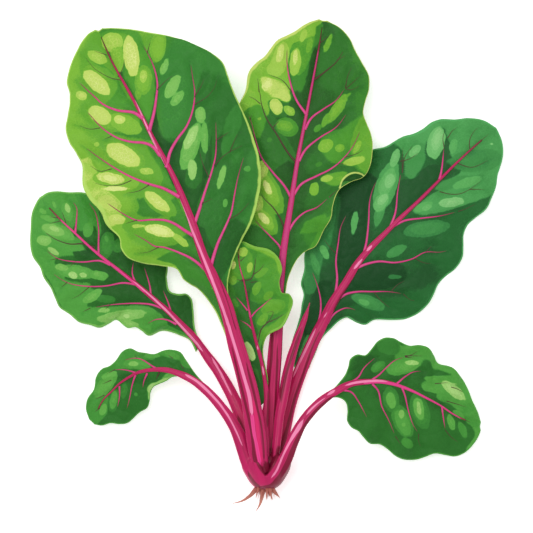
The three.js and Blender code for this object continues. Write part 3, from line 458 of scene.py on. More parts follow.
LEFT_LEAF = {
    "name": "left_leaf",
    "line": [
        (-3, -9, 20), (-8, 9, 17), (-13, 25, 15), (-19, 40, 14), (-25, 54, 13), (-32.4, 68.7, 12),
        (-40.8, 82.5, 11.5), (-50.4, 95.6, 11), (-59.4, 108.7, 11), (-70, 120, 11), (-83, 133, 12),
        (-97, 145, 13), (-111, 157, 14), (-125, 168, 14.5), (-138, 178, 14.5), (-150, 188, 14),
        (-163, 200, 11.5), (-176, 212, 8), (-194, 231, 3),
    ],
    "widths": [11, 12, 11.9, 10.2, 8.8, 6.4, 5, 4.1, 3.2, 2.5, 2, 1.4, 0.7],
    "rib_end": 0.96,
    "foot": 0.4,
    "left": [
        (-59.2, 98.1), (-64.4, 108.6), (-73, 113), (-82, 116), (-89, 116.4), (-100, 112.5), (-106, 117),
        (-111, 120), (-118, 119), (-128, 126), (-134, 123), (-142, 119.3), (-150, 121.2), (-159.8, 124),
        (-168.2, 130.8), (-176.8, 136.7), (-180.2, 145), (-184, 153.6), (-190, 162.4), (-193.7, 171.9),
        (-200, 181.6), (-201.6, 193), (-201, 205), (-200.2, 218), (-195.4, 228.7),
    ],
    "right": [
        (-51, 97), (-54.7, 105.4), (-59, 113.6), (-61, 124), (-62, 134), (-64, 144), (-68, 148), (-75, 148),
        (-82, 150.4), (-84.8, 161), (-84, 171), (-88.4, 184), (-99, 196), (-109, 206), (-121, 215),
        (-133, 224), (-145, 230), (-156, 235), (-168, 235), (-179, 236), (-187, 235), (-192, 232),
    ],
    "left_rise": [10, 6, 1, 6, 0, 5, 0, 5, 0, 4, 0, 2],
    "right_rise": [10, 11, 7, 12, 8, 12, 9, 7, 3, 5, 1, 2],
    "veins": [
        [(-143, 182), (-143, 192), (-143, 204), (-146, 218), (-153, 228)],
        [(-112, 159), (-114, 166), (-113, 176)],
        [(-98, 146), (-99, 155), (-104, 172)],
        [(-80, 130), (-83, 140), (-88, 152)],
        [(-163, 201), (-162, 212), (-162, 222), (-166, 228)],
        [(-76, 122), (-85, 126), (-94, 126), (-102, 122)],
        [(-89, 136), (-98, 139), (-112, 140), (-130, 139), (-149, 136)],
        [(-110, 156), (-122, 157.5), (-136, 155), (-150, 154.5), (-166, 156.5), (-176, 161), (-185, 168)],
        [(-133, 173), (-142, 176.5), (-155, 175.5), (-166, 176), (-178, 178.5), (-190, 187)],
        [(-146, 188), (-156, 191), (-168, 191), (-180, 195), (-191, 202)],
    ],
    "twigs": [
        [(-170, 158), (-176, 153)], [(-178, 178.5), (-186, 177)], [(-175, 211), (-187, 208)],
        [(-176, 213), (-187, 214.5)], [(-171, 209), (-175, 220)], [(-150, 155), (-160, 147), (-168, 143)],
        [(-163, 176), (-169, 170)], [(-150, 136), (-158, 132)], [(-133, 139), (-138, 134)],
    ],
    "vein_width": 2.3,
    "brown_veins": [9],
    "painted_gleams": [
        ([(-114, 160), (-100, 148), (-85, 134), (-70, 118), (-60, 107), (-53, 98)], [0.5, 0.9, 1.0, 0.9]),
        ([(-46, 94), (-38, 80), (-33, 70), (-28, 60)], [0.9, 0.9, 0.7]),
    ],
    "painted_glows": [([(-176, 212), (-150, 188), (-132, 173), (-114, 158), (-103, 149)], [1.6, 1.8, 1.8, 1.2])],
    "grooves": [([(-23.8, 45), (-20.8, 36), (-17.8, 28), (-15.4, 21), (-13.6, 14)], [1.0, 1.9, 1.6, 1.0])],
    "rim": (1.2, [(-130, 120, 40, 0.5)]),
    "cells": (200, 130),
    "puff": 1.2,
    "tones": {"left": 0.20, "right": 0.18, "left_margin": 0.04, "right_margin": 0.02,
              "left_rib": 0.04, "right_rib": 0.04, "vein": 0.06},
    "shades": [(-120, 195, 40, 30, -40, 0.12), (-125, 160, 80, 14, -35, 0.12), (-75, 138, 16, 20, 0, 0.14)],
    "zones": [
        (0.57, [(-204, 190), (-203, 215), (-196, 232), (-180, 238), (-166, 237), (-160, 226), (-162, 210),
            (-167, 200), (-160, 196), (-156, 190), (-160, 182), (-176, 180), (-181, 174), (-166, 170),
            (-172, 162), (-160, 158), (-150, 157), (-149, 153), (-140, 151), (-148, 144), (-153, 138),
            (-135, 137), (-118, 138), (-100, 137), (-88, 129), (-84, 122), (-86, 116), (-97, 113),
            (-106, 112), (-112, 118), (-128, 126), (-142, 119), (-158, 124), (-175, 137), (-183, 155),
            (-195, 173)]),
        (0.52, [(-166, 237), (-150, 236), (-145, 226), (-142, 214), (-141, 200), (-143, 196), (-146, 206),
            (-152, 206), (-158, 202), (-163, 206), (-160, 226)]),
        (0.50, [(-90, 128), (-84, 122), (-72, 116), (-64, 110), (-74, 112), (-86, 115), (-98, 113),
            (-96, 124)]),
        (0.10, [(-166, 190), (-157, 189), (-150, 186), (-140, 180), (-150, 177), (-162, 178)]),
        (0.13, [(-128, 176), (-112, 180), (-86, 178), (-84, 160), (-78, 150), (-64, 148), (-62, 130),
            (-58, 112), (-70, 122), (-96, 147), (-112, 162)]),
        (0.13, [(-150, 153), (-134, 155), (-112, 157), (-96, 144), (-88, 137), (-110, 141), (-134, 141),
            (-140, 144), (-142, 150)]),
    ],
    "patches": [
        (-136, 190, 24, 12, 80, 0.40), (-125, 190, 14, 10, 60, 0.40), (-137, 144, 18, 7, -8, 0.34),
        (-178, 201, 30, 14, -20, 0.66), (-171, 190, 34, 9, -12, 0.56), (-170, 219, 17, 9, -75, 0.64),
        (-163, 167, 34, 12, -8, 0.64), (-152, 203, 13, 9, 80, 0.60), (-123, 129, 44, 10, 8, 0.86),
        (-116, 122, 16, 6, -10, 0.86), (-182, 203, 20, 9, -18, 0.82), (-190, 194, 13, 9, -10, 0.84),
        (-170, 222, 9, 4, -75, 0.94), (-181, 224, 6, 3, -70, 0.74), (-187, 213, 13, 5, -15, 0.72),
        (-191, 219, 7, 4, -30, 0.74), (-136, 195, 5, 3, -70, 0.58), (-182, 185, 10, 5, -28, 0.92),
        (-175, 171, 12, 6, -10, 0.78), (-165, 164, 8, 6, -30, 0.96), (-156, 164, 6, 4, -10, 0.95),
        (-143, 164, 18, 8, -8, 0.66), (-144, 165, 7, 4, 0, 0.76), (-148, 146, 20, 8, 32, 0.74),
        (-181, 204, 10, 4, -20, 0.94), (-119, 129, 7, 4, 0, 1.00), (-138, 134, 12, 4, 8, 0.87),
        (-134, 129, 14, 4, 35, 0.87),
    ],
}

LOW_LEFT_LEAF = {
    "name": "low_left_leaf",
    "line": [
        (-6, -11, 21), (-12, -2, 25.5), (-17.5, 12.6, 27), (-22, 26, 28.5), (-28.8, 39.2, 29.5),
        (-38.4, 52.4, 30), (-48, 63.2, 29.5), (-59.6, 72.7, 29), (-71.5, 79, 28), (-85, 83, 26),
        (-97, 83, 23), (-108, 81, 20), (-116, 77, 17), (-125, 71, 14), (-132, 64, 11), (-139, 57, 8),
        (-149, 38, 3),
    ],
    "widths": [11, 12.5, 12, 10.1, 8.4, 7.7, 6.4, 4.6, 3.2, 2.2, 1.5, 1.1, 0.7],
    "rib_end": 0.94,
    "foot": 0.5,
    "left": [
        (-58, 71), (-67, 75), (-73, 77.4), (-79.4, 77), (-84.5, 74), (-90.4, 71.5), (-96, 68.4), (-98.9, 63),
        (-99.2, 57.2), (-101.4, 50.6), (-107.7, 46.5), (-113, 41.8), (-118.7, 37.2), (-126, 36.4),
        (-133, 37), (-140, 35), (-147, 36),
    ],
    "right": [
        (-51.4, 70.6), (-58, 77.4), (-63.4, 84.6), (-68.6, 92.4), (-72.5, 98), (-81, 100), (-88, 99),
        (-95, 96.3), (-102, 97), (-109, 98), (-116, 101), (-123, 98), (-128, 90.8), (-133, 86), (-140, 83),
        (-145, 76), (-147, 66), (-152, 58.4), (-154, 50), (-151, 40),
    ],
    "left_rise": [29, 26, 18, 12, 10, 5, 7, 2],
    "right_rise": [29, 25, 29, 20, 24, 13, 15, 6, 7, 2],
    "veins": [
        [(-93, 84), (-98, 87), (-104, 91), (-110, 93), (-122, 91)],
        [(-110, 80), (-116, 82), (-122, 83), (-130, 83)],
        [(-111, 79), (-114, 70), (-116, 60), (-119, 48)],
        [(-101, 80), (-104, 73), (-105, 67)],
        [(-125, 69), (-125, 60), (-127, 50)],
        [(-90, 82), (-94, 74)],
    ],
    "twigs": [
        [(-78, 83), (-83, 87)], [(-70, 84), (-73, 89)], [(-110, 93), (-112, 97)], [(-129, 83), (-137, 79)],
        [(-132, 74), (-141, 70)], [(-79, 93), (-85, 97)], [(-142, 50), (-147, 46)], [(-138, 61), (-147, 57)],
    ],
    "vein_width": 1.8,
    "brown_veins": [5],
    "painted_gleams": [
        ([(-69, 79.5), (-60, 74.5), (-52, 68), (-45, 61), (-38, 53), (-30, 41), (-24, 29), (-18.5, 16)],
          [1.1, 1.1, 0.9, 0.9, 0.7]),
    ],
    "grooves": [([(-15, -3), (-12, -10), (-7, -16), (-2, -19)], [0.8, 1.6, 1.5])],
    "rim": (0.7, []),
    "cells": (150, 100),
    "puff": 1.0,
    "tones": {"left": 0.26, "right": 0.28, "left_margin": 0.02, "right_margin": 0.04,
              "left_rib": 0.05, "right_rib": 0.04, "vein": 0.05},
    "shades": [(-110, 75, 40, 10, -10, 0.20), (-108, 52, 20, 14, 20, 0.22)],
    "zones": [
        (0.52, [(-146, 33), (-156, 42), (-158, 52), (-153, 62), (-149, 70), (-147, 79), (-140, 85),
            (-130, 89), (-124, 98), (-116, 103), (-106, 99), (-98, 99), (-93, 97), (-95, 92), (-103, 91),
            (-103, 85), (-112, 83.5), (-122, 84), (-130, 81), (-129, 75), (-134, 66), (-135, 55), (-136, 46),
            (-141, 39)]),
        (0.50, [(-93, 97), (-86, 102), (-78, 103), (-70, 98), (-66, 91), (-64, 84), (-70, 86), (-74, 91),
            (-80, 93), (-86, 94)]),
        (0.24, [(-103, 90), (-94, 92), (-86, 94), (-80, 91), (-74, 90), (-70, 85), (-64, 84), (-56, 76),
            (-66, 80), (-80, 84), (-92, 86), (-98, 88)]),
        (0.76, [(-88, 76), (-84, 80), (-78, 81), (-74, 78), (-78, 75), (-84, 74)]),
        (0.97, [(-79, 78), (-86, 76.2), (-92, 73.6), (-98.6, 71), (-101.4, 66.4), (-100.6, 61), (-99, 56),
            (-95, 56), (-92, 66), (-88, 68), (-80, 72), (-75, 75.6)]),
    ],
    "patches": [
        (-110, 88, 24, 9, -4, 0.56), (-137, 70, 28, 12, 50, 0.64), (-113, 88, 9, 4, 0, 0.84),
        (-134, 78, 14, 6, 20, 0.72), (-137, 68, 18, 8, 45, 0.68), (-130, 57, 15, 6, 80, 0.62),
        (-139, 49, 11, 6, 72, 0.70), (-130, 57, 20, 9, 80, 0.36), (-111, 62, 3, 3, 0, 0.50),
        (-121, 65, 14, 6, 78, 0.38), (-97, 95, 14, 4, 0, 0.58), (-80, 96, 16, 5, -20, 0.56),
    ],
}

LOW_RIGHT_LEAF = {
    "name": "low_right_leaf",
    "line": [
        (7, -11, 22), (13, -2, 27.5), (19, 10.2, 31), (24.8, 24.2, 33), (31.3, 37, 34), (40.5, 48.8, 35),
        (50, 57.7, 35), (60.6, 64.8, 34.5), (73, 71, 32.5), (87, 73, 30), (100, 73, 27), (113, 70, 24),
        (126, 65, 20.5), (138, 59, 17), (151, 52, 13), (163, 44, 9), (185, 34, 3),
    ],
    "widths": [11, 12, 10.3, 8.8, 8.1, 6.3, 5, 3.6, 2.6, 2.0, 1.5, 1.1, 0.7],
    "rib_end": 0.94,
    "foot": 0.44,
    "left": [
        (56, 64), (62.5, 70.6), (68.3, 77.8), (71.5, 85.2), (73, 92), (79, 96), (86.2, 95.5), (91.4, 100.8),
        (96.1, 107), (103, 110.4), (110.2, 110), (117, 106.4), (124, 103.4), (132, 104), (140, 102),
        (144.6, 95.4), (148.6, 88.5), (157, 86), (163, 83), (169, 75), (174.6, 65.3), (178.4, 55.2),
        (182.4, 47.2), (185.6, 37.2),
    ],
    "right": [
        (54, 59.4), (63.2, 59.8), (69, 56), (70.8, 48), (70.6, 39.8), (74.6, 33.6), (80.7, 30.6), (85, 25),
        (90, 20), (99, 19), (105.2, 15.4), (112, 9.2), (120.2, 6), (130, 6), (138.2, 8.2), (146, 11),
        (155.2, 9.7), (163, 8.7), (170.4, 10.8), (177, 16.2), (182.5, 23.7), (185.5, 31),
    ],
    "left_rise": [34, 30, 34, 27, 31, 22, 26, 15, 17, 7, 8, 2],
    "right_rise": [34, 29, 22, 24, 14, 16, 6, 9, 2, 5, 2],
    "veins": [
        [(75, 73), (80, 77), (85, 85), (95, 94)],
        [(91, 74), (98, 79), (104, 85), (111, 91), (120, 94)],
        [(113, 71), (120, 77), (127, 81), (135, 82)],
        [(67, 66), (74, 64), (80, 56), (88, 41)],
        [(92, 71), (97, 65), (100, 52), (106, 40), (112, 26)],
        [(117, 69), (120, 61), (123, 48), (127, 36), (132, 28)],
        [(152, 51), (153, 43), (155, 31)],
    ],
    "twigs": [
        [(120, 94), (126, 96), (132, 100)], [(120, 94), (128, 93)], [(120, 95), (137, 95)],
        [(132, 28), (132, 22), (134, 16)], [(112, 26), (117, 18)], [(155, 31), (160, 25), (167, 20)],
        [(160, 68), (166, 66), (171, 63)], [(146, 71), (158, 72)], [(156, 56), (166, 53), (175, 50)],
        [(168, 41), (178, 37)],
    ],
    "vein_width": 2.1,
    "painted_gleams": [
        ([(106, 73), (96, 73.8), (84, 73), (74, 71.5), (68, 69.5)], [0.7, 1.0, 1.1, 0.8]),
        ([(60, 66), (53, 61.5)], [1.3, 1.0]),
        ([(53, 60.2), (47.5, 56.5), (42, 52), (38, 48), (35.2, 44.6)], [0.4, 0.5, 0.9, 1.2]),
        ([(33.6, 42), (31, 37.6), (28.4, 33), (25, 28), (21.5, 22), (18.3, 16), (15, 9), (12, 1.5),
          (9, -4.5), (5.2, -9.6)], [0.7, 1.8, 1.5, 0.9, 0.8, 0.9, 0.9, 0.9]),
    ],
    "painted_glows": [([(171, 38), (150, 52), (130, 63), (112, 70), (98, 72), (84, 71.5)], [1.2, 1.6, 1.8, 1.6])],
    "grooves": [
        ([(64, 61), (57, 58.6), (50, 53), (43.5, 46.4), (38, 39.6), (34, 32.5), (29.8, 24.5), (26.2, 16),
          (23, 7), (19.6, -1), (14.8, -9.6), (8, -16), (-1, -18.6), (-9, -18)],
          [0.9, 2.0, 2.5, 2.8, 3.0, 3.5, 4.2, 4.6, 4.4, 2.6, 1.4]),
    ],
    "rim": (0.9, []),
    "cells": (160, 120),
    "puff": 1.1,
    "tones": {"left": 0.24, "right": 0.24, "left_margin": 0.02, "right_margin": 0.02,
              "left_rib": 0.06, "right_rib": 0.05, "vein": 0.05},
    "shades": [(85, 86, 24, 30, -20, 0.14), (120, 58, 60, 14, -10, 0.18)],
    "zones": [
        (0.57, [(112, 109), (118, 104), (134, 106), (143, 102), (148, 92), (153, 88), (163, 86), (171, 78),
            (179, 60), (188, 46), (188, 32), (183, 22), (173, 14), (180, 26), (180, 30), (174, 37),
            (171, 43), (164, 49), (157, 54), (148, 58), (147, 64), (136, 66), (133, 71), (138, 76),
            (150, 80), (158, 79), (150, 83), (144, 84), (142, 90), (136, 91), (132, 86), (120, 83),
            (113, 88), (111, 95), (113, 102)]),
        (0.36, [(98, 111), (106, 111), (116, 104), (113, 97), (104, 96), (96, 102)]),
        (0.20, [(105, 79), (118, 84), (132, 86), (140, 90), (143, 84), (160, 79), (146, 77), (134, 70),
            (150, 56), (130, 66), (112, 73)]),
    ],
    "patches": [
        (97, 86, 14, 8, 30, 0.42), (122, 86, 24, 9, 14, 0.64), (118, 86, 30, 14, 14, 0.54),
        (147, 75, 22, 6, 0, 0.62), (145, 67, 22, 8, -10, 0.60), (108, 58, 22, 14, -80, 0.38),
        (118, 39, 30, 16, -66, 0.42), (133, 48, 32, 16, -72, 0.38), (118, 38, 25, 11, -66, 0.56),
        (170, 31, 16, 7, -66, 0.46), (122, 20, 12, 8, -40, 0.46), (126, 89, 11, 4, 0, 0.95),
        (162, 65, 26, 9, -38, 0.95), (156, 71, 14, 3, -5, 0.92), (108, 57, 14, 8, -78, 0.68),
        (117, 45, 9, 5, -85, 0.82), (132, 50, 20, 9, -78, 0.70), (132, 50, 12, 4, -78, 0.90),
        (160, 38, 14, 6, -70, 0.64), (119, 36, 3, 3, 0, 0.70), (167, 44, 14, 5, -40, 0.58),
    ],
}

HEART_LEAF = {
    "name": "heart_leaf",
    "line": [
        (1, -9, 24), (0.6, 12, 24), (-0.3, 35, 24.5), (0.5, 48, 25), (1.4, 58, 25.5), (0, 74, 26.5),
        (-3.1, 91, 28.5), (-7.8, 108, 30.5), (-12, 126, 32.5), (-15, 143, 34), (-18, 159, 35.5),
        (-22, 174, 36.5), (-22, 193, 37),
    ],
    "widths": [6, 6.4, 6.6, 6.2, 4.4, 3.6, 3.2, 2.6, 2.0, 1.5, 1.1, 0.9, 0.6],
    "rib_end": 0.97,
    "foot": 0.32,
    "left": [
        (-4, 52), (-8, 66), (-13, 82), (-18, 97), (-23, 115), (-29, 136), (-34, 153), (-35, 170), (-31, 184),
        (-25, 192),
    ],
    "right": [
        (2, 57), (2.2, 74), (0.2, 85.8), (-1.8, 95.8), (-1, 106), (3, 114), (14.4, 119.7), (21, 132),
        (23.5, 142), (20, 148), (14, 149), (12, 157), (14, 169), (11, 179), (3, 186), (-9, 189), (-18, 193),
    ],
    "left_rise": [25, 27, 29, 32, 33, 35, 36],
    "right_rise": [25, 28, 30, 33, 35, 33, 36, 35, 38, 37],
    "veins": [
        [(-15, 134), (-19, 139), (-25, 146)],
        [(-13, 127), (-8, 133), (-1, 139), (7, 146)],
        [(-10, 117), (-15, 122), (-22, 126)],
        [(-20, 160), (-12, 161), (-9, 170), (-8, 180)],
        [(-6, 107), (-3, 118), (3, 124), (10, 127), (18, 132)],
    ],
    "twigs": [
        [(-16, 147), (-13, 154)], [(-2, 120), (4, 126), (7, 133), (0, 132)], [(1, 124), (8, 125)],
        [(-10, 165), (-5, 168), (0, 175)], [(-12, 158), (-5, 159)], [(-19, 159), (-25, 161)],
        [(-21, 176), (-16, 181)], [(-22, 174), (-24, 186)], [(-7, 111), (-10, 106)],
    ],
    "vein_width": 1.9,
    "brown_veins": [3, 4],
    "painted_gleams": [
        ([(-6.6, 104), (-6, 100)], [0.7, 0.7]),
        ([(-2.4, 87), (-0.8, 78)], [0.7, 0.8]),
    ],
    "painted_glows": [([(-21.5, 172), (-18, 152), (-15.3, 138), (-12.4, 127)], [0.5, 0.9, 1.1])],
    "grooves": [([(2.6, 66), (2.8, 55), (2.4, 44), (2.1, 33)], [0.7, 1.2, 1.0])],
    "rim": (0.6, [(0, 188, 26, 1.4), (16, 126, 22, 1.2), (0, 80, 24, -0.9), (-12, 88, 20, -0.9)]),
    "cells": (130, 70),
    "puff": 0.9,
    "cool": [[(-22, 112), (-6, 112), (-3, 86), (-14, 82), (-22, 96)]],
    "tones": {"left": 0.32, "right": 0.44, "left_margin": 0.06, "right_margin": 0.06,
              "left_rib": 0.08, "right_rib": 0.10, "vein": 0.06},
    "shades": [(-10, 95, 8, 40, 15, 0.20), (-20, 125, 12, 30, -20, 0.28)],
    "zones": [
        (0.50, [(-6, 186), (2, 182), (9, 174), (10, 162), (8, 150), (2, 146), (-2, 152), (-6, 160),
            (-9, 172)]),
        (0.58, [(-34, 160), (-34, 175), (-29, 184), (-22, 188), (-14, 186), (-10, 176), (-12, 164),
            (-20, 160), (-28, 156)]),
        (0.27, [(-28, 155), (-20, 160), (-12, 161), (-6, 158), (-12, 150), (-12, 143), (-5, 140), (4, 143),
            (-1, 138), (-7, 132), (-8, 122), (-5, 112), (-9, 106), (-14, 120), (-19, 134), (-24, 146)]),
        (0.62, [(21, 149), (26, 142), (24, 131), (16, 123), (6, 115), (-3, 106), (-4, 98), (-7, 107),
            (-3, 118), (5, 122), (12, 127), (19, 133), (21, 141)]),
        (0.70, [(-22, 196), (-10, 193), (2, 190), (11, 183), (16, 172), (17, 160), (12, 166), (9, 176),
            (1, 182), (-9, 186), (-18, 190)]),
        (0.14, [(-17, 98), (-10, 93), (-3, 84), (2, 60), (-2, 50), (-8, 66), (-12, 82)]),
        (0.30, [(-12, 88), (-8, 86), (-4, 72), (-8, 78)]),
        (0.30, [(4, 60), (4, 88), (1, 98), (-2, 104), (-4, 98), (-1, 84), (1, 70)]),
    ],
    "patches": [
        (-19, 184, 9, 8, 20, 0.80), (-27, 173, 8, 4, 85, 0.96), (-13, 171, 9, 5, 75, 0.80),
        (-3, 166, 14, 6, 35, 0.58), (-7, 153, 13, 7, 70, 0.60), (3, 147, 11, 6, 40, 0.60),
        (-27, 160, 8, 6, 80, 0.66), (7, 137, 22, 13, 20, 0.54), (4, 139, 11, 7, 20, 0.60),
        (-2, 126, 13, 7, 50, 0.62), (-13.5, 99, 18, 8.5, -66, 1.00), (-25, 140, 8, 4, -60, 0.46),
    ],
}

LEAVES = [
    TALL_LEFT_LEAF, TALL_MIDDLE_LEAF, RIGHT_LEAF, LEFT_LEAF, LOW_LEFT_LEAF, LOW_RIGHT_LEAF, HEART_LEAF,
]

# A young leaf that hasn't opened: a bare stalk that runs out to a point.
YOUNG_STALK = {
    "name": "young_stalk",
    "line": [
        (5, -9, 19), (9, 12, 24.5), (10.5, 27, 24.5), (12.5, 44, 24), (15.5, 59, 22.5), (18.5, 76, 20.5),
        (22.3, 93, 20), (27.1, 108, 20.5), (32.3, 122, 21), (35.8, 132, 22), (38.4, 140.5, 23),
    ],
    "widths": [6.5, 7, 7.4, 7.8, 8.4, 8.8, 7.8, 6.6, 4.8, 0.8],
    "painted_gleams": [([(15.5, 86), (13.6, 76)], [0.4, 0.6])],
    "grooves": [
        ([(31.6, 120), (28.2, 110), (24.8, 100), (21.5, 90), (18.3, 80), (16, 70), (14.4, 62), (13.4, 54)],
          [0.7, 1.2, 1.3, 1.3, 1.2, 0.8]),
        ([(13.5, 76), (13.2, 68), (12.6, 58)], [0.4, 0.8]),
    ],
}

# Crown, where all stalks meet: radius and Y from the root end to the shoulder among the stalks.
CROWN_PROFILE = [
    (0, -20), (7, -19.2), (12.5, -15.5), (17.3, -8.5), (20.6, -2), (21.4, 4), (19, 9), (11, 11.5),
    (0, 12),
]
CROWN_CENTRE = (1, 17.6)  # X and Z
CROWN_DEPTH_RATIO = 0.88
CROWN_VOXEL = 0.62
CROWN_REACH = 46  # Y up to which the two lowest stalks are one piece with the crown
CROWN_OVERLAP = 9  # by which their upper parts are tucked into it
NOTCH_TIP = (1, -9)  # X and Y of the hollow out of which the inner stalks rise
NOTCH_SPREAD = 0.52  # half width of the hollow over its length
NOTCH_DEPTH = 9
# Painted shade, deep red, in the hollow of the crown and on the feet of the stalks that stand in it.
NOTCH_SHADE = [  # outline of the deep red inside the hollow
    (0, -8), (4, -4.5), (8, 1), (12, 9), (16, 17), (10, 26), (0, 26), (-10, 24), (-10, 12), (-7, 2),
    (-4, -3),
]
FOOT_SHADE = [  # outline of the deep red on the feet of the stalks that stand in it
    (0, -12), (-8, -3), (-7.5, 1.2), (-3.6, 0.6), (-1.4, 2), (0, 5), (1.6, 4.5), (3.4, 7), (4.4, 16),
    (6.6, 16), (7.4, 8), (8.6, 9), (10.5, 17), (15.5, 18), (14, 8), (9, -2), (4, -9),
]

# Roots that hang from the lower end of the crown: points from the crown outwards, and the width.
LONG_ROOTS = [
    ([(-4, -15, 18), (-9.5, -21.8, 16.5), (-14.5, -26.6, 14), (-20.5, -30.2, 11), (-28, -32.2, 8)], 5.4),
    ([(-1.6, -15, 20), (-2.3, -24, 18), (-4.2, -32, 15), (-7.6, -38.6, 11)], 5.8),
    ([(-5, -15, 22), (-6.5, -22, 23), (-7.8, -27, 23)], 3.6),
    ([(1.5, -15, 23), (1.8, -22, 24), (1.2, -28.4, 23)], 4.4),
    ([(3.5, -15, 22), (4.4, -22, 23), (6.2, -28.4, 21)], 5.8),
    ([(2.6, -15, 20), (3.2, -20, 20.5), (3.6, -26, 21)], 7.0),
    ([(5.2, -15, 20), (7.8, -21.5, 20), (12.6, -26.6, 17)], 6.0),
]
ROOT_STEP = 1.2  # between the rings of a root
ROOT_WIGGLE = 0.5
ROOTLETS = 30
ROOTLET_LENGTH = (5, 11)
ROOTLET_WIDTH = (0.9, 2.0)
ROOTLET_PLATE = (6, 9)  # half width and half depth of the plate they grow from
ROOTLET_START = -17  # Y of that plate

# ---- Colours (sRGB) ----

GREEN_TONES = (0.00, 0.12, 0.24, 0.36, 0.48, 0.60, 0.72, 0.84, 0.94, 1.00)  # of the greens below
LEAF_GREENS = (  # from the deepest green to cream
    "204E1C", "2A6024", "33742B", "3F872D", "4E982F", "63A632", "7CB738", "9DC84C", "C0D769", "D8E48A",
)
COOL_GREENS = (
    "194822", "22562A", "286A32", "347E40", "439249", "4FA154", "5BAD5A", "6CB868", "7CC274", "8CCB80",
)
MID_GREENS = (
    "1D5020", "265F24", "2E712A", "388132", "459439", "53A141", "63AE4A", "7EBD5A", "96CA6C", "ACD880",
)
# The colour of the rim is a painted highlight along the margin.
BLADE_FINISHES = {  # greens, colour of the rim, and slot
    "tall_left_leaf": (LEAF_GREENS, "B6DB68", "tall_left_green"),
    "tall_middle_leaf": (LEAF_GREENS, "CBDC72", "tall_middle_green"),
    "right_leaf": (COOL_GREENS, "57AE62", "right_green"),
    "left_leaf": (MID_GREENS, "7DBE58", "left_green"),
    "low_left_leaf": (MID_GREENS, "58A545", "low_left_green"),
    "low_right_leaf": (MID_GREENS, "58A545", "low_right_green"),
    "heart_leaf": (LEAF_GREENS, "88C04C", "heart_green"),
}
UNDERSIDE_GREEN = "7FAE66"
STALK_MAGENTA = "C22060"
# Deep red of the stalk's own striping, also used for painted shade in furrows, grooves and the crown's
# hollow.
STALK_MAROON = "7C1232"
VEIN_MAGENTA = "D4287A"
VEIN_HIGHLIGHT_PINK = "F070AC"
TWIG_BROWN = "503C2C"
ROOT_TAN = "D28C7A"
ROOT_BROWN = "A85A50"
FLOOR_WHITE = "FBFBFA"
GLOW_WHITE = "FFFFFF"

# Painted lines of a stalk, later ones over earlier ones: the leaf's list of them, and their colour.
STROKE_LAYERS = {
    "rose": ("roses", "CB3C7C"),
    # partly the stalk's own dark striping, partly painted shade
    "groove": ("grooves", STALK_MAROON),
    # painted light, a brighter red on the lit side
    "lit_side_blush": ("blushes", "DC1E68"),
    # painted highlight, hot pink
    "painted_glow": ("painted_glows", "EE4390"),
    # painted highlight, pale pink
    "painted_gleam": ("painted_gleams", "F78DB8"),
}

# Patches of painted highlight and painted shade on a blade, later ones over earlier ones: least tone, and the
# tone that they stay under.
PATCH_LAYERS = {
    "deep": (0, 0.35),
    "low": (0.35, 0.55),
    "fair": (0.55, 0.7),
    "mid": (0.7, 0.88),
    "core": (0.88, 2),
}
OUTSIDE = -9.0  # distance that counts as well outside a painted area

# ---- Patterns in the finishes (mm) ----

PATCH_RAGGEDNESS = 6.25  # waves along the edge of a patch
GREEN_DRIFT = 18.18  # clouds of slightly other green
VEIN_NET = 3.03  # cells of the net of finest veins: they are 1 to 2 across, drawn coarser to show
LEAF_GRAIN = 1.11  # pores of the leaf's skin: they are 0.05 across, drawn coarser to show
STALK_FIBRES = (9.0, 3.0, 30.0)  # streaks over half a width, over half a depth and over a metre
VEIN_MOTTLE = 4.0
ROOT_GRAIN = 2.38  # wrinkles of the bark: they are about 1 across, drawn coarser to show

# ---- View and light ----

VIEW_CENTRE = (1.3, 171.6)
VIEW_WIDTH = 457.5  # at the height of the leaves
VIEW_HEIGHT = 18.0
LENS = 400.0
SENSOR = 36.0
KEY_LIGHT = ((-0.55, 0.7, 1.85), 1.1, 18)  # place and size in metres, and power in watts
FILL_LIGHT = ((1.0, -0.1, 1.8), 1.8, 7)
LIGHT_AIM = (0.0, 0.17, 0.02)
SKY_STRENGTH = 0.50
FLOOR_SIZE = 12  # metres
FLOOR_DROP = 0.0002  # metres under the plant
FLOOR_GLOW = 0.45

# ---- Curves ----


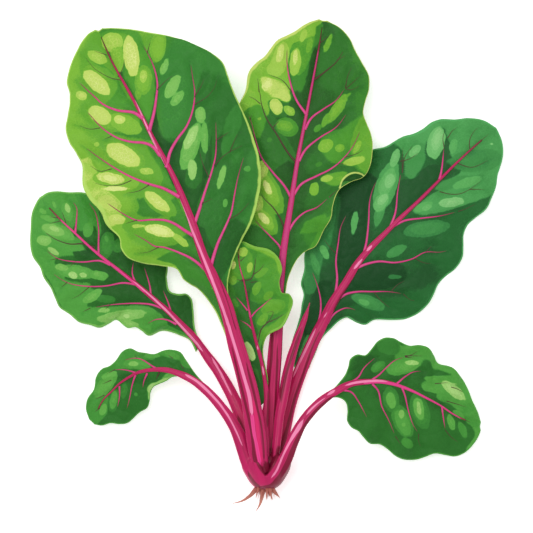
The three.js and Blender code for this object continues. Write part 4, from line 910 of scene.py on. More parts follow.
class Curve:
    """A smooth curve through the points, read by the part of its length, from 0 to 1."""

    def __init__(self, points, samples=400):
        knots = np.asarray(points, float)
        if knots.shape[1] == 2:
            knots = np.column_stack([knots, np.zeros(len(knots))])
        knots = np.vstack([2 * knots[0] - knots[1], knots, 2 * knots[-1] - knots[-2]])
        spans = len(knots) - 3
        place = np.linspace(0, spans, samples + 1)
        span = np.minimum(place.astype(int), spans - 1)
        before, start, end, after = (knots[span + k] for k in range(4))
        w = (place - span)[:, None]
        gap_before, gap, gap_after = (
            np.sqrt(np.linalg.norm(b - a, axis=1))[:, None]
            for a, b in ((before, start), (start, end), (end, after))
        )
        leave = (start - before) / gap_before - (end - before) / (gap_before + gap) + (end - start) / gap
        leave = leave * gap
        arrive = (end - start) / gap - (after - start) / (gap + gap_after) + (after - end) / gap_after
        arrive = arrive * gap
        self.points = (
            start
            + leave * w
            + (3 * (end - start) - 2 * leave - arrive) * w**2
            + (2 * (start - end) + leave + arrive) * w**3
        )
        steps = np.linalg.norm(np.diff(self.points, axis=0), axis=1)
        self.way = np.concatenate([[0], np.cumsum(steps)])
        self.length = self.way[-1]

    def at(self, part):
        """The points at these parts of the length."""
        way = np.asarray(part, float) * self.length
        return np.stack([np.interp(way, self.way, self.points[:, k]) for k in range(3)], axis=-1)

    def steps(self, step, least):
        """Parts of the length that lie about one step apart, from 0 to 1."""
        return np.linspace(0, 1, max(int(self.length / step), least) + 1)

    def part_at_y(self, y):
        """The first part of the line at which it has risen to this Y."""
        return self.way[np.argmax(self.points[:, 1] >= y)] / self.length


def value_at(levels, part):
    """A value from a list that is spread evenly over 0..1, eased between its entries."""
    levels = np.asarray(levels, float)
    place = np.clip(part, 0, 1) * (len(levels) - 1)
    step = np.minimum(place.astype(int), len(levels) - 2)
    ease = (1 - np.cos(np.pi * (place - step))) / 2
    return levels[step] * (1 - ease) + levels[step + 1] * ease


def smooth(low, high, value):
    """Rises softly from 0 at low to 1 at high, or falls where low is the larger."""
    part = np.clip((value - low) / (high - low), 0, 1)
    return part * part * (3 - 2 * part)


def noise_at(points, size, seed):
    """Soft noise of about -1..1 with waves of the given size, at each point."""
    shift = Vector((seed, seed * 1.7, seed * 0.3))
    return np.array([noise.noise(Vector(p) / size + shift) for p in points])


def blister_at(points, size):
    """Height of a blistered surface: 0 in the creases, up to 1 on the blisters."""
    heights = np.empty(len(points))
    for i, p in enumerate(points):
        near = noise.voronoi(Vector(p) / size)[0]
        heights[i] = near[1] - near[0]
    return np.clip(heights, 0, 1)


# ---- Meshes ----


def select_only(piece):
    """Selects one piece alone and makes it the active one."""
    bpy.ops.object.select_all(action="DESELECT")
    piece.select_set(True)
    bpy.context.view_layer.objects.active = piece


def new_grid(name, across, along):
    """A flat grid whose X and Y run over -1..1."""
    bpy.ops.object.select_all(action="DESELECT")
    bpy.ops.mesh.primitive_grid_add(x_subdivisions=across, y_subdivisions=along, size=2)
    piece = bpy.context.object
    piece.name = name
    return piece


def get_points(piece):
    """The places of all vertices, in metres."""
    points = np.empty(len(piece.data.vertices) * 3)
    piece.data.vertices.foreach_get("co", points)
    return points.reshape(-1, 3)


def set_points(piece, points):
    """Moves all vertices to these places, in metres."""
    piece.data.vertices.foreach_set("co", np.ascontiguousarray(points, float).ravel())
    piece.data.update()


def paint(piece, name, values):
    """Keeps a value or a vector for each vertex, for the material to read."""
    kind, field = ("FLOAT", "value") if values.ndim == 1 else ("FLOAT_VECTOR", "vector")
    layer = piece.data.attributes.new(name, kind, "POINT")
    layer.data.foreach_set(field, values.astype(np.float32).ravel())


def apply_modifier(piece, kind, **settings):
    """Adds a modifier with these settings and applies it."""
    bpy.context.view_layer.objects.active = piece
    modifier = piece.modifiers.new(kind.title(), kind)
    for key, value in settings.items():
        setattr(modifier, key, value)
    bpy.ops.object.modifier_apply(modifier=modifier.name)


def sew(piece, close_ends):
    """Sews seams shut, closes open ends where asked, and turns the faces outwards."""
    select_only(piece)
    bpy.ops.object.mode_set(mode="EDIT")
    bpy.ops.mesh.select_all(action="SELECT")
    bpy.ops.mesh.remove_doubles(threshold=1e-6)
    if close_ends:
        bpy.ops.mesh.select_mode(type="EDGE")
        bpy.ops.mesh.select_all(action="DESELECT")
        bpy.ops.mesh.select_non_manifold(extend=False)
        bpy.ops.mesh.edge_face_add()
        bpy.ops.mesh.select_all(action="SELECT")
    bpy.ops.mesh.normals_make_consistent(inside=False)
    bpy.ops.object.mode_set(mode="OBJECT")


def join(pieces):
    """Joins the pieces into the first of them."""
    select_only(pieces[0])
    for piece in pieces[1:]:
        piece.select_set(True)
    bpy.ops.object.join()
    return pieces[0]


def new_wires(name):
    """An empty set of round wires, for add_wire to fill and wires_to_mesh to finish."""
    wires = bpy.data.curves.new(name, "CURVE")
    wires.dimensions = "3D"
    wires.bevel_depth = MM
    wires.bevel_resolution = 2
    wires.use_fill_caps = True
    return wires


def add_wire(wires, places, radii):
    """Adds one wire through the places, with its radius at each."""
    spline = wires.splines.new("POLY")
    spline.points.add(len(places) - 1)
    for point, (x, y, z), radius in zip(spline.points, places, radii):
        point.co = (x * MM, y * MM, z * MM, 1)
        point.radius = radius


def wires_to_mesh(wires):
    """Makes one mesh piece of all the wires."""
    piece = bpy.data.objects.new(wires.name, wires)
    bpy.context.scene.collection.objects.link(piece)
    select_only(piece)
    bpy.ops.object.convert(target="MESH")
    return bpy.context.object


def finish_piece(piece, material, slot, *nodes):
    """Gives a piece its material and its body, and says which nodes it stands for. The slot is not used."""
    piece.data.materials.clear()
    piece.data.materials.append(material)
    select_only(piece)
    bpy.ops.object.shade_smooth()
    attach(piece, "root")
    if nodes:
        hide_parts(*nodes)


# ---- Painted lines and areas ----


def nearest(samples, points):
    """Distance in plan from each point to the nearest sample, and which one that is."""
    tree = KDTree(len(samples))
    for i, sample in enumerate(samples):
        tree.insert((sample[0], sample[1], 0), i)
    tree.balance()
    found = [tree.find((x, y, 0)) for x, y in points[:, :2]]
    return np.array([f[2] for f in found]), np.array([f[1] for f in found])


def stroke_field(points, strokes):
    """Millimetres inside the edge of the nearest brush stroke, seen from above; negative outside."""
    field = np.full(len(points), OUTSIDE)
    for line, half_widths in strokes:
        curve = Curve(line, 700)
        distance, which = nearest(curve.points, points)
        way = curve.way[which]
        taper = min(STROKE_TAPER, curve.length / 3)
        width = value_at(half_widths, way / curve.length)
        for from_end in (way, curve.length - way):
            width = width * smooth(-0.3 * taper, taper, from_end)
        field = np.maximum(field, width - distance)
    return field


def depth_in_outline(points, outline):
    """Millimetres inside a smooth closed outline, seen from above; negative outside."""
    edge = Curve([*outline, outline[0]]).points[:, :2]
    low, high = edge.min(axis=0) - 2, edge.max(axis=0) + 2
    close = np.flatnonzero(np.all((points[:, :2] > low) & (points[:, :2] < high), axis=1))
    depth = np.full(len(points), -2.0)
    distance, _ = nearest(edge, points[close])
    x, y = points[close, 0, None], points[close, 1, None]
    (x0, y0), (x1, y1) = edge[:-1].T, edge[1:].T
    crossing = ((y0 > y) != (y1 > y)) & (x < x0 + (y - y0) * (x1 - x0) / (y1 - y0 + 1e-9))
    depth[close] = np.where(crossing.sum(axis=1) % 2 == 1, distance, -distance)
    return depth


def ellipse_field(points, patch):
    """Millimetres inside the edge of a tilted ellipse, negative outside it."""
    x, y, length, width, tilt, _ = patch
    turn = math.radians(tilt)
    dx, dy = points[:, 0] - x, points[:, 1] - y
    along = dx * math.cos(turn) + dy * math.sin(turn)
    across = dy * math.cos(turn) - dx * math.sin(turn)
    reach = np.sqrt((2 * along / length) ** 2 + (2 * across / width) ** 2)
    return (1 - reach) * min(length, width) / 2


def patch_layer(points, patches):
    """The strongest of the patches at each point: how far inside it, and its tone."""
    field = np.full(len(points), OUTSIDE)
    tone = np.zeros(len(points))
    for patch in patches:
        here = ellipse_field(points, patch)
        tone = np.where(here > field, patch[5], tone)
        field = np.maximum(field, here)
    return field, tone


# ---- Stalks ----


def flute(across):
    """Ridges and grooves that run along a stalk: 1 on a ridge, -1 in a groove."""
    return np.cos(2 * np.pi * (1.5 * across + 0.55))


def stalk_frame(line, part):
    """Centre, side and top direction of a stalk at the parts of its line."""
    centre = line.at(part)
    along = line.at(np.minimum(part + 0.004, 1)) - line.at(np.maximum(part - 0.004, 0))
    along /= np.linalg.norm(along, axis=-1, keepdims=True)
    side = np.cross(along, [0, 0, 1])
    side /= np.linalg.norm(side, axis=-1, keepdims=True)
    return centre, side, np.cross(side, along)


def stalk_size(plant, part):
    """Width and depth of a stalk, which is flatter where it bears a blade."""
    width = value_at(plant["widths"], part)
    depth_ratio = RIB_DEPTH_RATIO if "foot" in plant else BARE_STALK_DEPTH_RATIO
    depth = np.maximum(width * depth_ratio, RIB_LEAST_DEPTH)
    return width, np.minimum(depth, width * 1.2 + 0.4)


def paint_strokes(piece, points, strokes, upper, flanks):
    """Lines on the upper side, painted highlights and painted light among them, and dark grooves, partly
    painted shade, that reach down the flanks as well.
    """
    for layer, (kind, _) in STROKE_LAYERS.items():
        shown = flanks if layer == "groove" else upper
        field = stroke_field(points, strokes.get(kind, []))
        paint(piece, layer, field * shown + OUTSIDE * (1 - shown))


def paint_stalk(piece, plant, points, part, across, top, way, tucked):
    """Paint for the stalk's finish: flutes, its lines of own colour, painted highlight and painted shade,
    painted shade in the crown's hollow, the tip and the run of the fibres.
    """
    upper = smooth(-0.1, 0.3, top)
    beneath = 0.5 * np.cos(9 * np.pi * across) * smooth(0.3, -0.3, top)
    paint(piece, "flute", flute(across) * upper + beneath)
    paint_strokes(piece, points, plant, upper, smooth(-0.6, -0.2, top))
    in_hollow = smooth(-0.5, 0.5, depth_in_outline(points, FOOT_SHADE))
    paint(piece, "hollow_shade", np.zeros(len(points)) if tucked else in_hollow)
    paint(piece, "tip", smooth(0.86, 1.0, part) * ("foot" in plant))
    paint(piece, "fibre", np.column_stack([across, top, way * MM]))


def make_stalk(plant, start, end, tucked):
    """A fluted stalk between two parts of its line. A tucked one starts a little thinner."""
    line = Curve(plant["line"])
    rings = int(line.length * (end - start) / STALK_STEP)
    stalk = new_grid(plant["name"] + "_stalk", STALK_SIDES, rings)
    flat = get_points(stalk)
    part = start + (end - start) * (flat[:, 1] + 1) / 2
    way = part * line.length
    angle = np.pi * flat[:, 0] - np.pi / 2
    angle = np.round(angle / (2 * np.pi) * STALK_SIDES) * (2 * np.pi / STALK_SIDES)
    across, top = np.cos(angle), np.sin(angle)

    width, depth = stalk_size(plant, part)
    if tucked:
        grown = 0.8 + 0.2 * smooth(0, 10, (part - start) * line.length)
        width, depth = width * grown, depth * grown
    flutes = FLUTE_DEPTH * flute(across) * smooth(-0.2, 0.5, top)
    fine_ribs = FINE_RIB_DEPTH * np.cos(11 * angle) * smooth(0.2, -0.4, top)
    carved = 1 + flutes + fine_ribs
    flattened = np.sign(top) * np.abs(top) ** 0.85

    centre, side, above = stalk_frame(line, part)
    points = centre + side * (across * width / 2 * carved)[:, None]
    points = points + above * (flattened * depth / 2 * carved)[:, None]
    points[:, 2] += STALK_WAVE * noise_at(points, STALK_WAVE_LENGTH, 3) * smooth(3, 8, width)
    points[:, 2] = np.maximum(points[:, 2], STALK_LEAST_HEIGHT)
    set_points(stalk, points * MM)
    paint_stalk(stalk, plant, points, part, across, top, way, tucked)
    sew(stalk, close_ends=True)
    return stalk


# ---- Veins ----


def vein_curves(leaf):
    """The leaf's side veins and their twigs as smooth lines, each with its width at both ends."""
    mains = [(Curve(vein, 60), leaf["vein_width"], VEIN_END_WIDTH) for vein in leaf["veins"]]
    twigs = [(Curve(twig, 60), *TWIG_WIDTHS) for twig in leaf["twigs"]]
    return mains, twigs


def vein_samples(curves):
    """Points close together on all of the lines, each with the line's direction there."""
    points, ways = [], []
    for curve, _, _ in curves:
        here = curve.at(curve.steps(VEIN_STEP, 4))
        points.append(here)
        ways.append(np.gradient(here, axis=0))
    return np.vstack(points), np.vstack(ways)


def rib_height_at(line, point):
    """Height of the midrib where it passes nearest to the point in plan."""
    gap = np.linalg.norm(line.points[:, :2] - point[:2], axis=1)
    return line.points[gap.argmin(), 2]


def vein_radii(way, part, root_width, end_width, flared):
    """Radii of a vein that thins out along its way; a flared one is thicker where it leaves the rib."""
    radii = (root_width + (end_width - root_width) * part**0.75) / 2
    radii = radii * (1 + 0.12 * smooth(6, 0, way) * flared)
    return radii * (1 - 0.5 * smooth(0.9, 1, part))


def make_veins(leaf, height):
    """The side veins and twigs of a leaf, as tapering tubes that lie in its blade."""
    line = Curve(leaf["line"])
    mains, twigs = vein_curves(leaf)
    brown_mains = [mains[i][0] for i in leaf.get("brown_veins", [])]
    wires = new_wires(leaf["name"] + "_veins")
    runs = [(vein, True) for vein in mains] + [(twig, False) for twig in twigs]
    middles, browns = [], []
    for (curve, root_width, end_width), is_main in runs:
        is_brown = not is_main or curve in brown_mains
        part = curve.steps(VEIN_STEP, 4)
        way = part * curve.length
        places = curve.at(part)
        places[:, 2] = [height(x, y) for x, y in places[:, :2]]
        if is_main:
            sunk = smooth(7, 0, way)
            rib_height = rib_height_at(line, places[0])
            places[:, 2] = places[:, 2] * (1 - sunk) + (rib_height - VEIN_ROOT_DEPTH) * sunk
        if curve in brown_mains:
            root_width *= BROWN_VEIN_RATIO
        radii = vein_radii(way, part, root_width, end_width, is_main)
        add_wire(wires, places + [0, 0, VEIN_LIFT], radii)
        middles.append(places)
        browns.append(np.ones(len(part)) if is_brown else 0.75 * smooth(0.5, 1.0, part))
    veins = wires_to_mesh(wires)
    points = get_points(veins) / MM
    middles = np.vstack(middles)
    _, which = nearest(middles, points)
    paint(veins, "brown", np.concatenate(browns)[which])
    paint(veins, "crest", np.clip(points[:, 2] - middles[which, 2], -1.5, 1.5))
    return veins


# ---- Blades ----


def lay_sheet(leaf, line, across, part):
    """The sheet between the midrib and its margins, and the place on the margin beside each point."""
    left, right = Curve(leaf["left"]), Curve(leaf["right"])
    out = np.abs(across)
    on_left = across < 0
    middle = line.at(leaf["foot"] + (1 - leaf["foot"]) * part)
    margin = np.where(on_left[:, None], left.at(part), right.at(part))
    rise = np.where(on_left, value_at(leaf["left_rise"], part), value_at(leaf["right_rise"], part))
    points = middle * (1 - out)[:, None] + margin * out[:, None]
    points[:, 2] = middle[:, 2] * (1 - out**2) + rise * out**2

    outwards = margin[:, :2] - middle[:, :2]
    outwards /= np.maximum(np.linalg.norm(outwards, axis=1, keepdims=True), 0.5)
    margin_place = np.column_stack([margin[:, :2], np.where(on_left, 50.0, 0.0)])
    ripple = MARGIN_SPREAD + MARGIN_RIPPLE * noise_at(margin_place, MARGIN_RIPPLE_LENGTH, 2)
    points[:, :2] += outwards * (ripple * out**6)[:, None]
    return points, margin_place


def vein_places(leaf, points):
    """Distance of each point from the nearest vein, and on which side of it the point lies."""
    mains, twigs = vein_curves(leaf)
    samples, directions = vein_samples(mains + twigs)
    distance, which = nearest(samples, points)
    offset = points[:, :2] - samples[which, :2]
    side = directions[which, 0] * offset[:, 1] - directions[which, 1] * offset[:, 0]
    return distance, side * np.sign(directions[which, 0] + 1e-6)


def relief(leaf, points, part, across, margin_place, valley):
    """How far the sheet rises between its veins, on its blisters and where its margin flutters."""
    plan = np.column_stack([points[:, :2], np.zeros(len(points))])
    puff = leaf["puff"] * (1 - np.exp(-((valley / PUFF_REACH * 2) ** 2)))
    blisters = blister_at(plan, BLISTER_SIZE) * smooth(0.5, 4, valley)
    crumple = noise_at(plan, CRUMPLE_SIZE, 5)
    flutter = noise_at(margin_place, FLUTTER_LENGTH, 9) * np.abs(across) ** 3
    rise = puff - 0.5 * leaf["puff"]
    rise = rise + BLISTER_HEIGHT * blisters + CRUMPLE_HEIGHT * crumple + FLUTTER_HEIGHT * flutter
    return rise * smooth(0.0, 0.06, part) * smooth(1.0, 0.97, part)


def base_tone(leaf, points, across, rib_distance, vein_distance, vein_side):
    """Tone of the blade without its patches."""
    tones = leaf["tones"]
    onto_right = smooth(-0.04, 0.04, across)

    def of_side(left, right):
        return tones[left] * (1 - onto_right) + tones[right] * onto_right

    # Painted light and shade: one half of the blade lit and the other shaded, paler towards the margin, then
    # broad areas and clear-edged zones of painted light and shade.
    tone = of_side("left", "right")
    tone = tone + of_side("left_margin", "right_margin") * smooth(0.55, 1.0, np.abs(across))
    for shade in leaf["shades"]:
        inside = smooth(-0.35, 0.45, ellipse_field(points, shade) / (min(shade[2], shade[3]) / 2))
        tone = tone * (1 - inside) + shade[5] * inside
    ragged = ZONE_RAGGEDNESS * noise_at(points * [1, 1, 0], ZONE_WAVE_LENGTH, 4)
    for zone_tone, outline in leaf["zones"]:
        inside = smooth(-0.6, 0.6, depth_in_outline(points, outline) + ragged)
        tone = tone * (1 - inside) + zone_tone * inside
    # Painted shade beside the midrib, and beside each vein, most on one side of it.
    tone = tone - of_side("left_rib", "right_rib") * np.exp(-rib_distance / RIB_SHADE_REACH)
    tone = tone - tones["vein"] * np.exp(-vein_distance / VEIN_SHADE_REACH) * (0.45 + 0.55 * (vein_side < 0))
    return np.clip(tone, 0, 1)


def edge_distance(points, across_cells, along_cells):
    """Millimetres in from the blade's margin, for each point of its grid."""
    grid = points.reshape(along_cells + 1, across_cells + 1, 3)
    rim = np.vstack([grid[:, 0], grid[:, -1], grid[-1]])
    distance, _ = nearest(rim, points)
    return distance


def rim_highlight_width(leaf, points):
    """Width of the painted highlight, a pale line along the margin, near each point."""
    base, places = leaf["rim"]
    width = np.full(len(points), base)
    for x, y, reach, widening in places:
        width += widening * smooth(reach, 0, np.hypot(points[:, 0] - x, points[:, 1] - y))
    return np.maximum(width, 0.05)


def paint_blade(blade, leaf, points, tone, margin_distance):
    """Paint for the leaf's finish: tone with its painted light and shade, patches of painted highlight and
    shade, cooler areas and the painted highlight along the margin.
    """
    paint(blade, "tone", tone)
    for layer, (low, high) in PATCH_LAYERS.items():
        chosen = [patch for patch in leaf["patches"] if low <= patch[5] < high]
        field, patch_tone = patch_layer(points, chosen)
        paint(blade, layer + "_field", field)
        paint(blade, layer + "_tone", patch_tone)
    cool = np.zeros(len(points))
    for outline in leaf.get("cool", []):
        cool = np.maximum(cool, smooth(-2, 4, depth_in_outline(points, outline)))
    paint(blade, "cool", cool)
    edge = margin_distance / rim_highlight_width(leaf, points)
    for fold, width in leaf.get("folds", []):
        fold_distance, _ = nearest(Curve(fold).points, points)
        edge = np.minimum(edge, fold_distance / width * 1.6)
    paint(blade, "edge", edge)


def make_blade(leaf):
    """The green sheet of a leaf, puffed up between its veins and painted, still without thickness."""
    line = Curve(leaf["line"])
    along_cells, across_cells = leaf["cells"]
    blade = new_grid(leaf["name"] + "_blade", across_cells, along_cells)
    flat = get_points(blade)
    across, part = flat[:, 0], (flat[:, 1] + 1) / 2
    points, margin_place = lay_sheet(leaf, line, across, part)
    vein_distance, vein_side = vein_places(leaf, points)
    rib_distance, _ = nearest(line.points, points)
    valley = np.minimum(vein_distance, rib_distance * 0.8)
    points[:, 2] += relief(leaf, points, part, across, margin_place, valley)
    points[:, 2] = np.maximum(points[:, 2], BLADE_LEAST_HEIGHT)
    set_points(blade, points * MM)
    tone = base_tone(leaf, points, across, rib_distance, vein_distance, vein_side)
    paint_blade(blade, leaf, points, tone, edge_distance(points, across_cells, along_cells))
    return blade


def height_finder(blade):
    """A function that gives the blade's height in mm at a place in plan."""
    surface = BVHTree.FromObject(blade, bpy.context.evaluated_depsgraph_get())

    def height(x, y):
        hit = surface.ray_cast(Vector((x * MM, y * MM, 0.2)), Vector((0, 0, -1)))[0]
        if hit is None:
            hit = surface.find_nearest(Vector((x * MM, y * MM, 0.03)))[0]
        return hit.z / MM

    return height


def thicken(blade):
    """Gives the sheet its thickness and marks its lower face."""
    apply_modifier(blade, "SOLIDIFY", thickness=BLADE_THICKNESS * MM, offset=0, use_even_offset=False)
    normals = np.empty(len(blade.data.vertices) * 3)
    blade.data.vertices.foreach_get("normal", normals)
    paint(blade, "underside", smooth(0.2, -0.2, normals.reshape(-1, 3)[:, 2]))


# ---- Crown and roots ----


def crown_body():
    """The swollen foot of the plant without its stalks."""
    bpy.ops.object.select_all(action="DESELECT")
    bpy.ops.mesh.primitive_uv_sphere_add(segments=72, ring_count=40, radius=1)
    body = bpy.context.object
    ball = get_points(body)
    part = np.arccos(np.clip(-ball[:, 2], -1, 1)) / np.pi
    profile = Curve(CROWN_PROFILE).at(part)
    around = np.arctan2(ball[:, 1], ball[:, 0])
    points = np.column_stack([
        CROWN_CENTRE[0] + profile[:, 0] * np.cos(around),
        profile[:, 1],
        CROWN_CENTRE[1] + profile[:, 0] * np.sin(around) * CROWN_DEPTH_RATIO,
    ])
    set_points(body, points * MM)
    return body


def notch_depth(points):
    """How far the crown is hollowed between its two outer stalks."""
    past_tip = points[:, 1] - NOTCH_TIP[1]
    half = np.maximum(past_tip, 0.01) * NOTCH_SPREAD
    inside = 1 - np.abs(points[:, 0] - NOTCH_TIP[0]) / half
    facing_up = smooth(CROWN_CENTRE[1], CROWN_CENTRE[1] + 8, points[:, 2])
    return NOTCH_DEPTH * smooth(0, 7, past_tip) * smooth(0, 0.45, inside) * facing_up


def paint_crown(crown, low_pair):
    """Paint for the crown's finish, which carries on the flutes and lines of its two stalks, with their
    painted highlights and shade, and painted shade in the hollow between them.
    """
    points = get_points(crown) / MM
    ridge = np.zeros(len(points))
    best = np.full(len(points), 99.0)
    strokes = {kind: [] for kind, _ in STROKE_LAYERS.values()}
    for leaf in low_pair:
        line = Curve(leaf["line"])
        distance, which = nearest(line.points, points)
        part = line.way[which] / line.length
        centre, side, _ = stalk_frame(line, part)
        across = np.sum((points - centre) * side, axis=1) / (value_at(leaf["widths"], part) / 2)
        on_stalk = smooth(1.5, 0.8, np.abs(across)) * smooth(-14, 10, points[:, 1])
        ridge = np.where(distance < best, flute(across) * on_stalk, ridge)
        best = np.minimum(best, distance)
        for kind, lines in strokes.items():
            lines += leaf.get(kind, [])
    upper = smooth(14, 22, points[:, 2])
    paint(crown, "flute", ridge * upper)
    paint_strokes(crown, points, strokes, upper, smooth(4, 10, points[:, 2]))
    # Painted shade inside the hollow between the stalks.
    paint(crown, "hollow_shade", smooth(-0.5, 0.5, depth_in_outline(points, NOTCH_SHADE)) * upper)
    paint(crown, "tip", np.zeros(len(points)))
    around = np.arctan2(points[:, 2] - CROWN_CENTRE[1], points[:, 0] - CROWN_CENTRE[0])
    paint(crown, "fibre", np.column_stack([around / np.pi, np.zeros(len(points)), points[:, 1] * MM]))


def make_crown():
    """The crown and the feet of the two lowest stalks, grown together."""
    low_pair = (LOW_LEFT_LEAF, LOW_RIGHT_LEAF)
    feet = []
    for leaf in low_pair:
        end = Curve(leaf["line"]).part_at_y(CROWN_REACH)
        feet.append(make_stalk(leaf, 0.0, end, False))
    crown = join([crown_body(), *feet])
    crown.name = "crown_skin"
    for layer in (*STROKE_LAYERS, "flute", "hollow_shade", "tip", "fibre"):
        crown.data.attributes.remove(crown.data.attributes[layer])
    sew(crown, close_ends=False)
    apply_modifier(crown, "REMESH", mode="VOXEL", voxel_size=CROWN_VOXEL * MM)
    apply_modifier(crown, "SMOOTH", factor=0.5, iterations=5)
    points = get_points(crown) / MM
    points[:, 2] -= notch_depth(points)
    points[:, 2] = np.maximum(points[:, 2], CROWN_LEAST_HEIGHT)
    set_points(crown, points * MM)
    apply_modifier(crown, "SMOOTH", factor=0.5, iterations=3)
    paint_crown(crown, low_pair)
    return crown


def add_root(wires, points, width):
    """Adds a root that tapers to a fine end and wanders a little on its way."""
    curve = Curve(points, 60)
    part = curve.steps(ROOT_STEP, 6)
    places = curve.at(part)
    wiggle = [noise.noise(Vector(place) / 3.5) for place in places] * part * ROOT_WIGGLE
    places[:, 0] += wiggle
    places[:, 2] += wiggle
    add_wire(wires, places, width / 2 * ((1 - part) ** 1.1 * 0.92 + 0.08))


def make_roots():
    """Tapering roots and fine rootlets below the crown."""
    wires = new_wires("roots_fine")
    for points, width in LONG_ROOTS:
        add_root(wires, points, width)
    draw = random.Random(11)
    for _ in range(ROOTLETS):
        around = draw.uniform(0, 2 * math.pi)
        spread = draw.uniform(0.1, 0.9)
        length = draw.uniform(*ROOTLET_LENGTH)
        lean_x, lean_z = math.cos(around) * spread, math.sin(around) * spread * 0.8
        start = Vector((
            CROWN_CENTRE[0] + ROOTLET_PLATE[0] * lean_x,
            ROOTLET_START,
            CROWN_CENTRE[1] + ROOTLET_PLATE[1] * lean_z,
        ))
        middle = start + Vector((lean_x * length * 0.45, -length * 0.6, lean_z * length * 0.3))
        end = middle + Vector((lean_x * length * 0.3, -length * 0.5, lean_z * length * 0.2 - 1))
        add_root(wires, [tuple(start), tuple(middle), tuple(end)], draw.uniform(*ROOTLET_WIDTH))
    return wires_to_mesh(wires)


# ---- Materials ----


def linear(colour):
    """sRGB hex to linear RGBA."""
    parts = [int(colour[i:i + 2], 16) / 255 for i in (0, 2, 4)]
    return (*[c / 12.92 if c <= 0.04045 else ((c + 0.055) / 1.055) ** 2.4 for c in parts], 1)


def scale_of(size):
    """Scale of a pattern whose cells are this many millimetres across."""
    return 1 / (size * MM)


def add_node(tree, kind, inputs=None, out=0, **settings):
    """Adds a node with its settings, fills its inputs with values or links, and returns one output."""
    node = tree.nodes.new("ShaderNode" + kind)
    for key, value in settings.items():
        setattr(node, key, value)
    for socket, value in (inputs or {}).items():
        if isinstance(value, bpy.types.NodeSocket):
            tree.links.new(value, node.inputs[socket])
        else:
            node.inputs[socket].default_value = value
    return node.outputs[out] if node.outputs else None


def new_material(name):
    """A material with an empty node tree."""
    material = bpy.data.materials.new(name)
    material.use_nodes = True
    material.node_tree.nodes.clear()
    return material, material.node_tree


def set_stops(ramp, stops):
    """Gives a colour ramp its stops."""
    elements = ramp.color_ramp.elements
    while len(elements) < len(stops):
        elements.new(1)
    for element, (place, colour) in zip(elements, stops):
        element.position = place
        element.color = linear(colour)


def plateaus(greens, softness):
    """Ramp stops that hold each green for a while and then change to the next within a short way."""
    stops = list(zip(GREEN_TONES, greens))
    held = [stops[0]]
    for (place, colour), (next_place, next_colour) in zip(stops, stops[1:]):
        middle, half = (place + next_place) / 2, (next_place - place) / 2 * softness
        held += [(middle - half, colour), (middle + half, next_colour)]
    return held


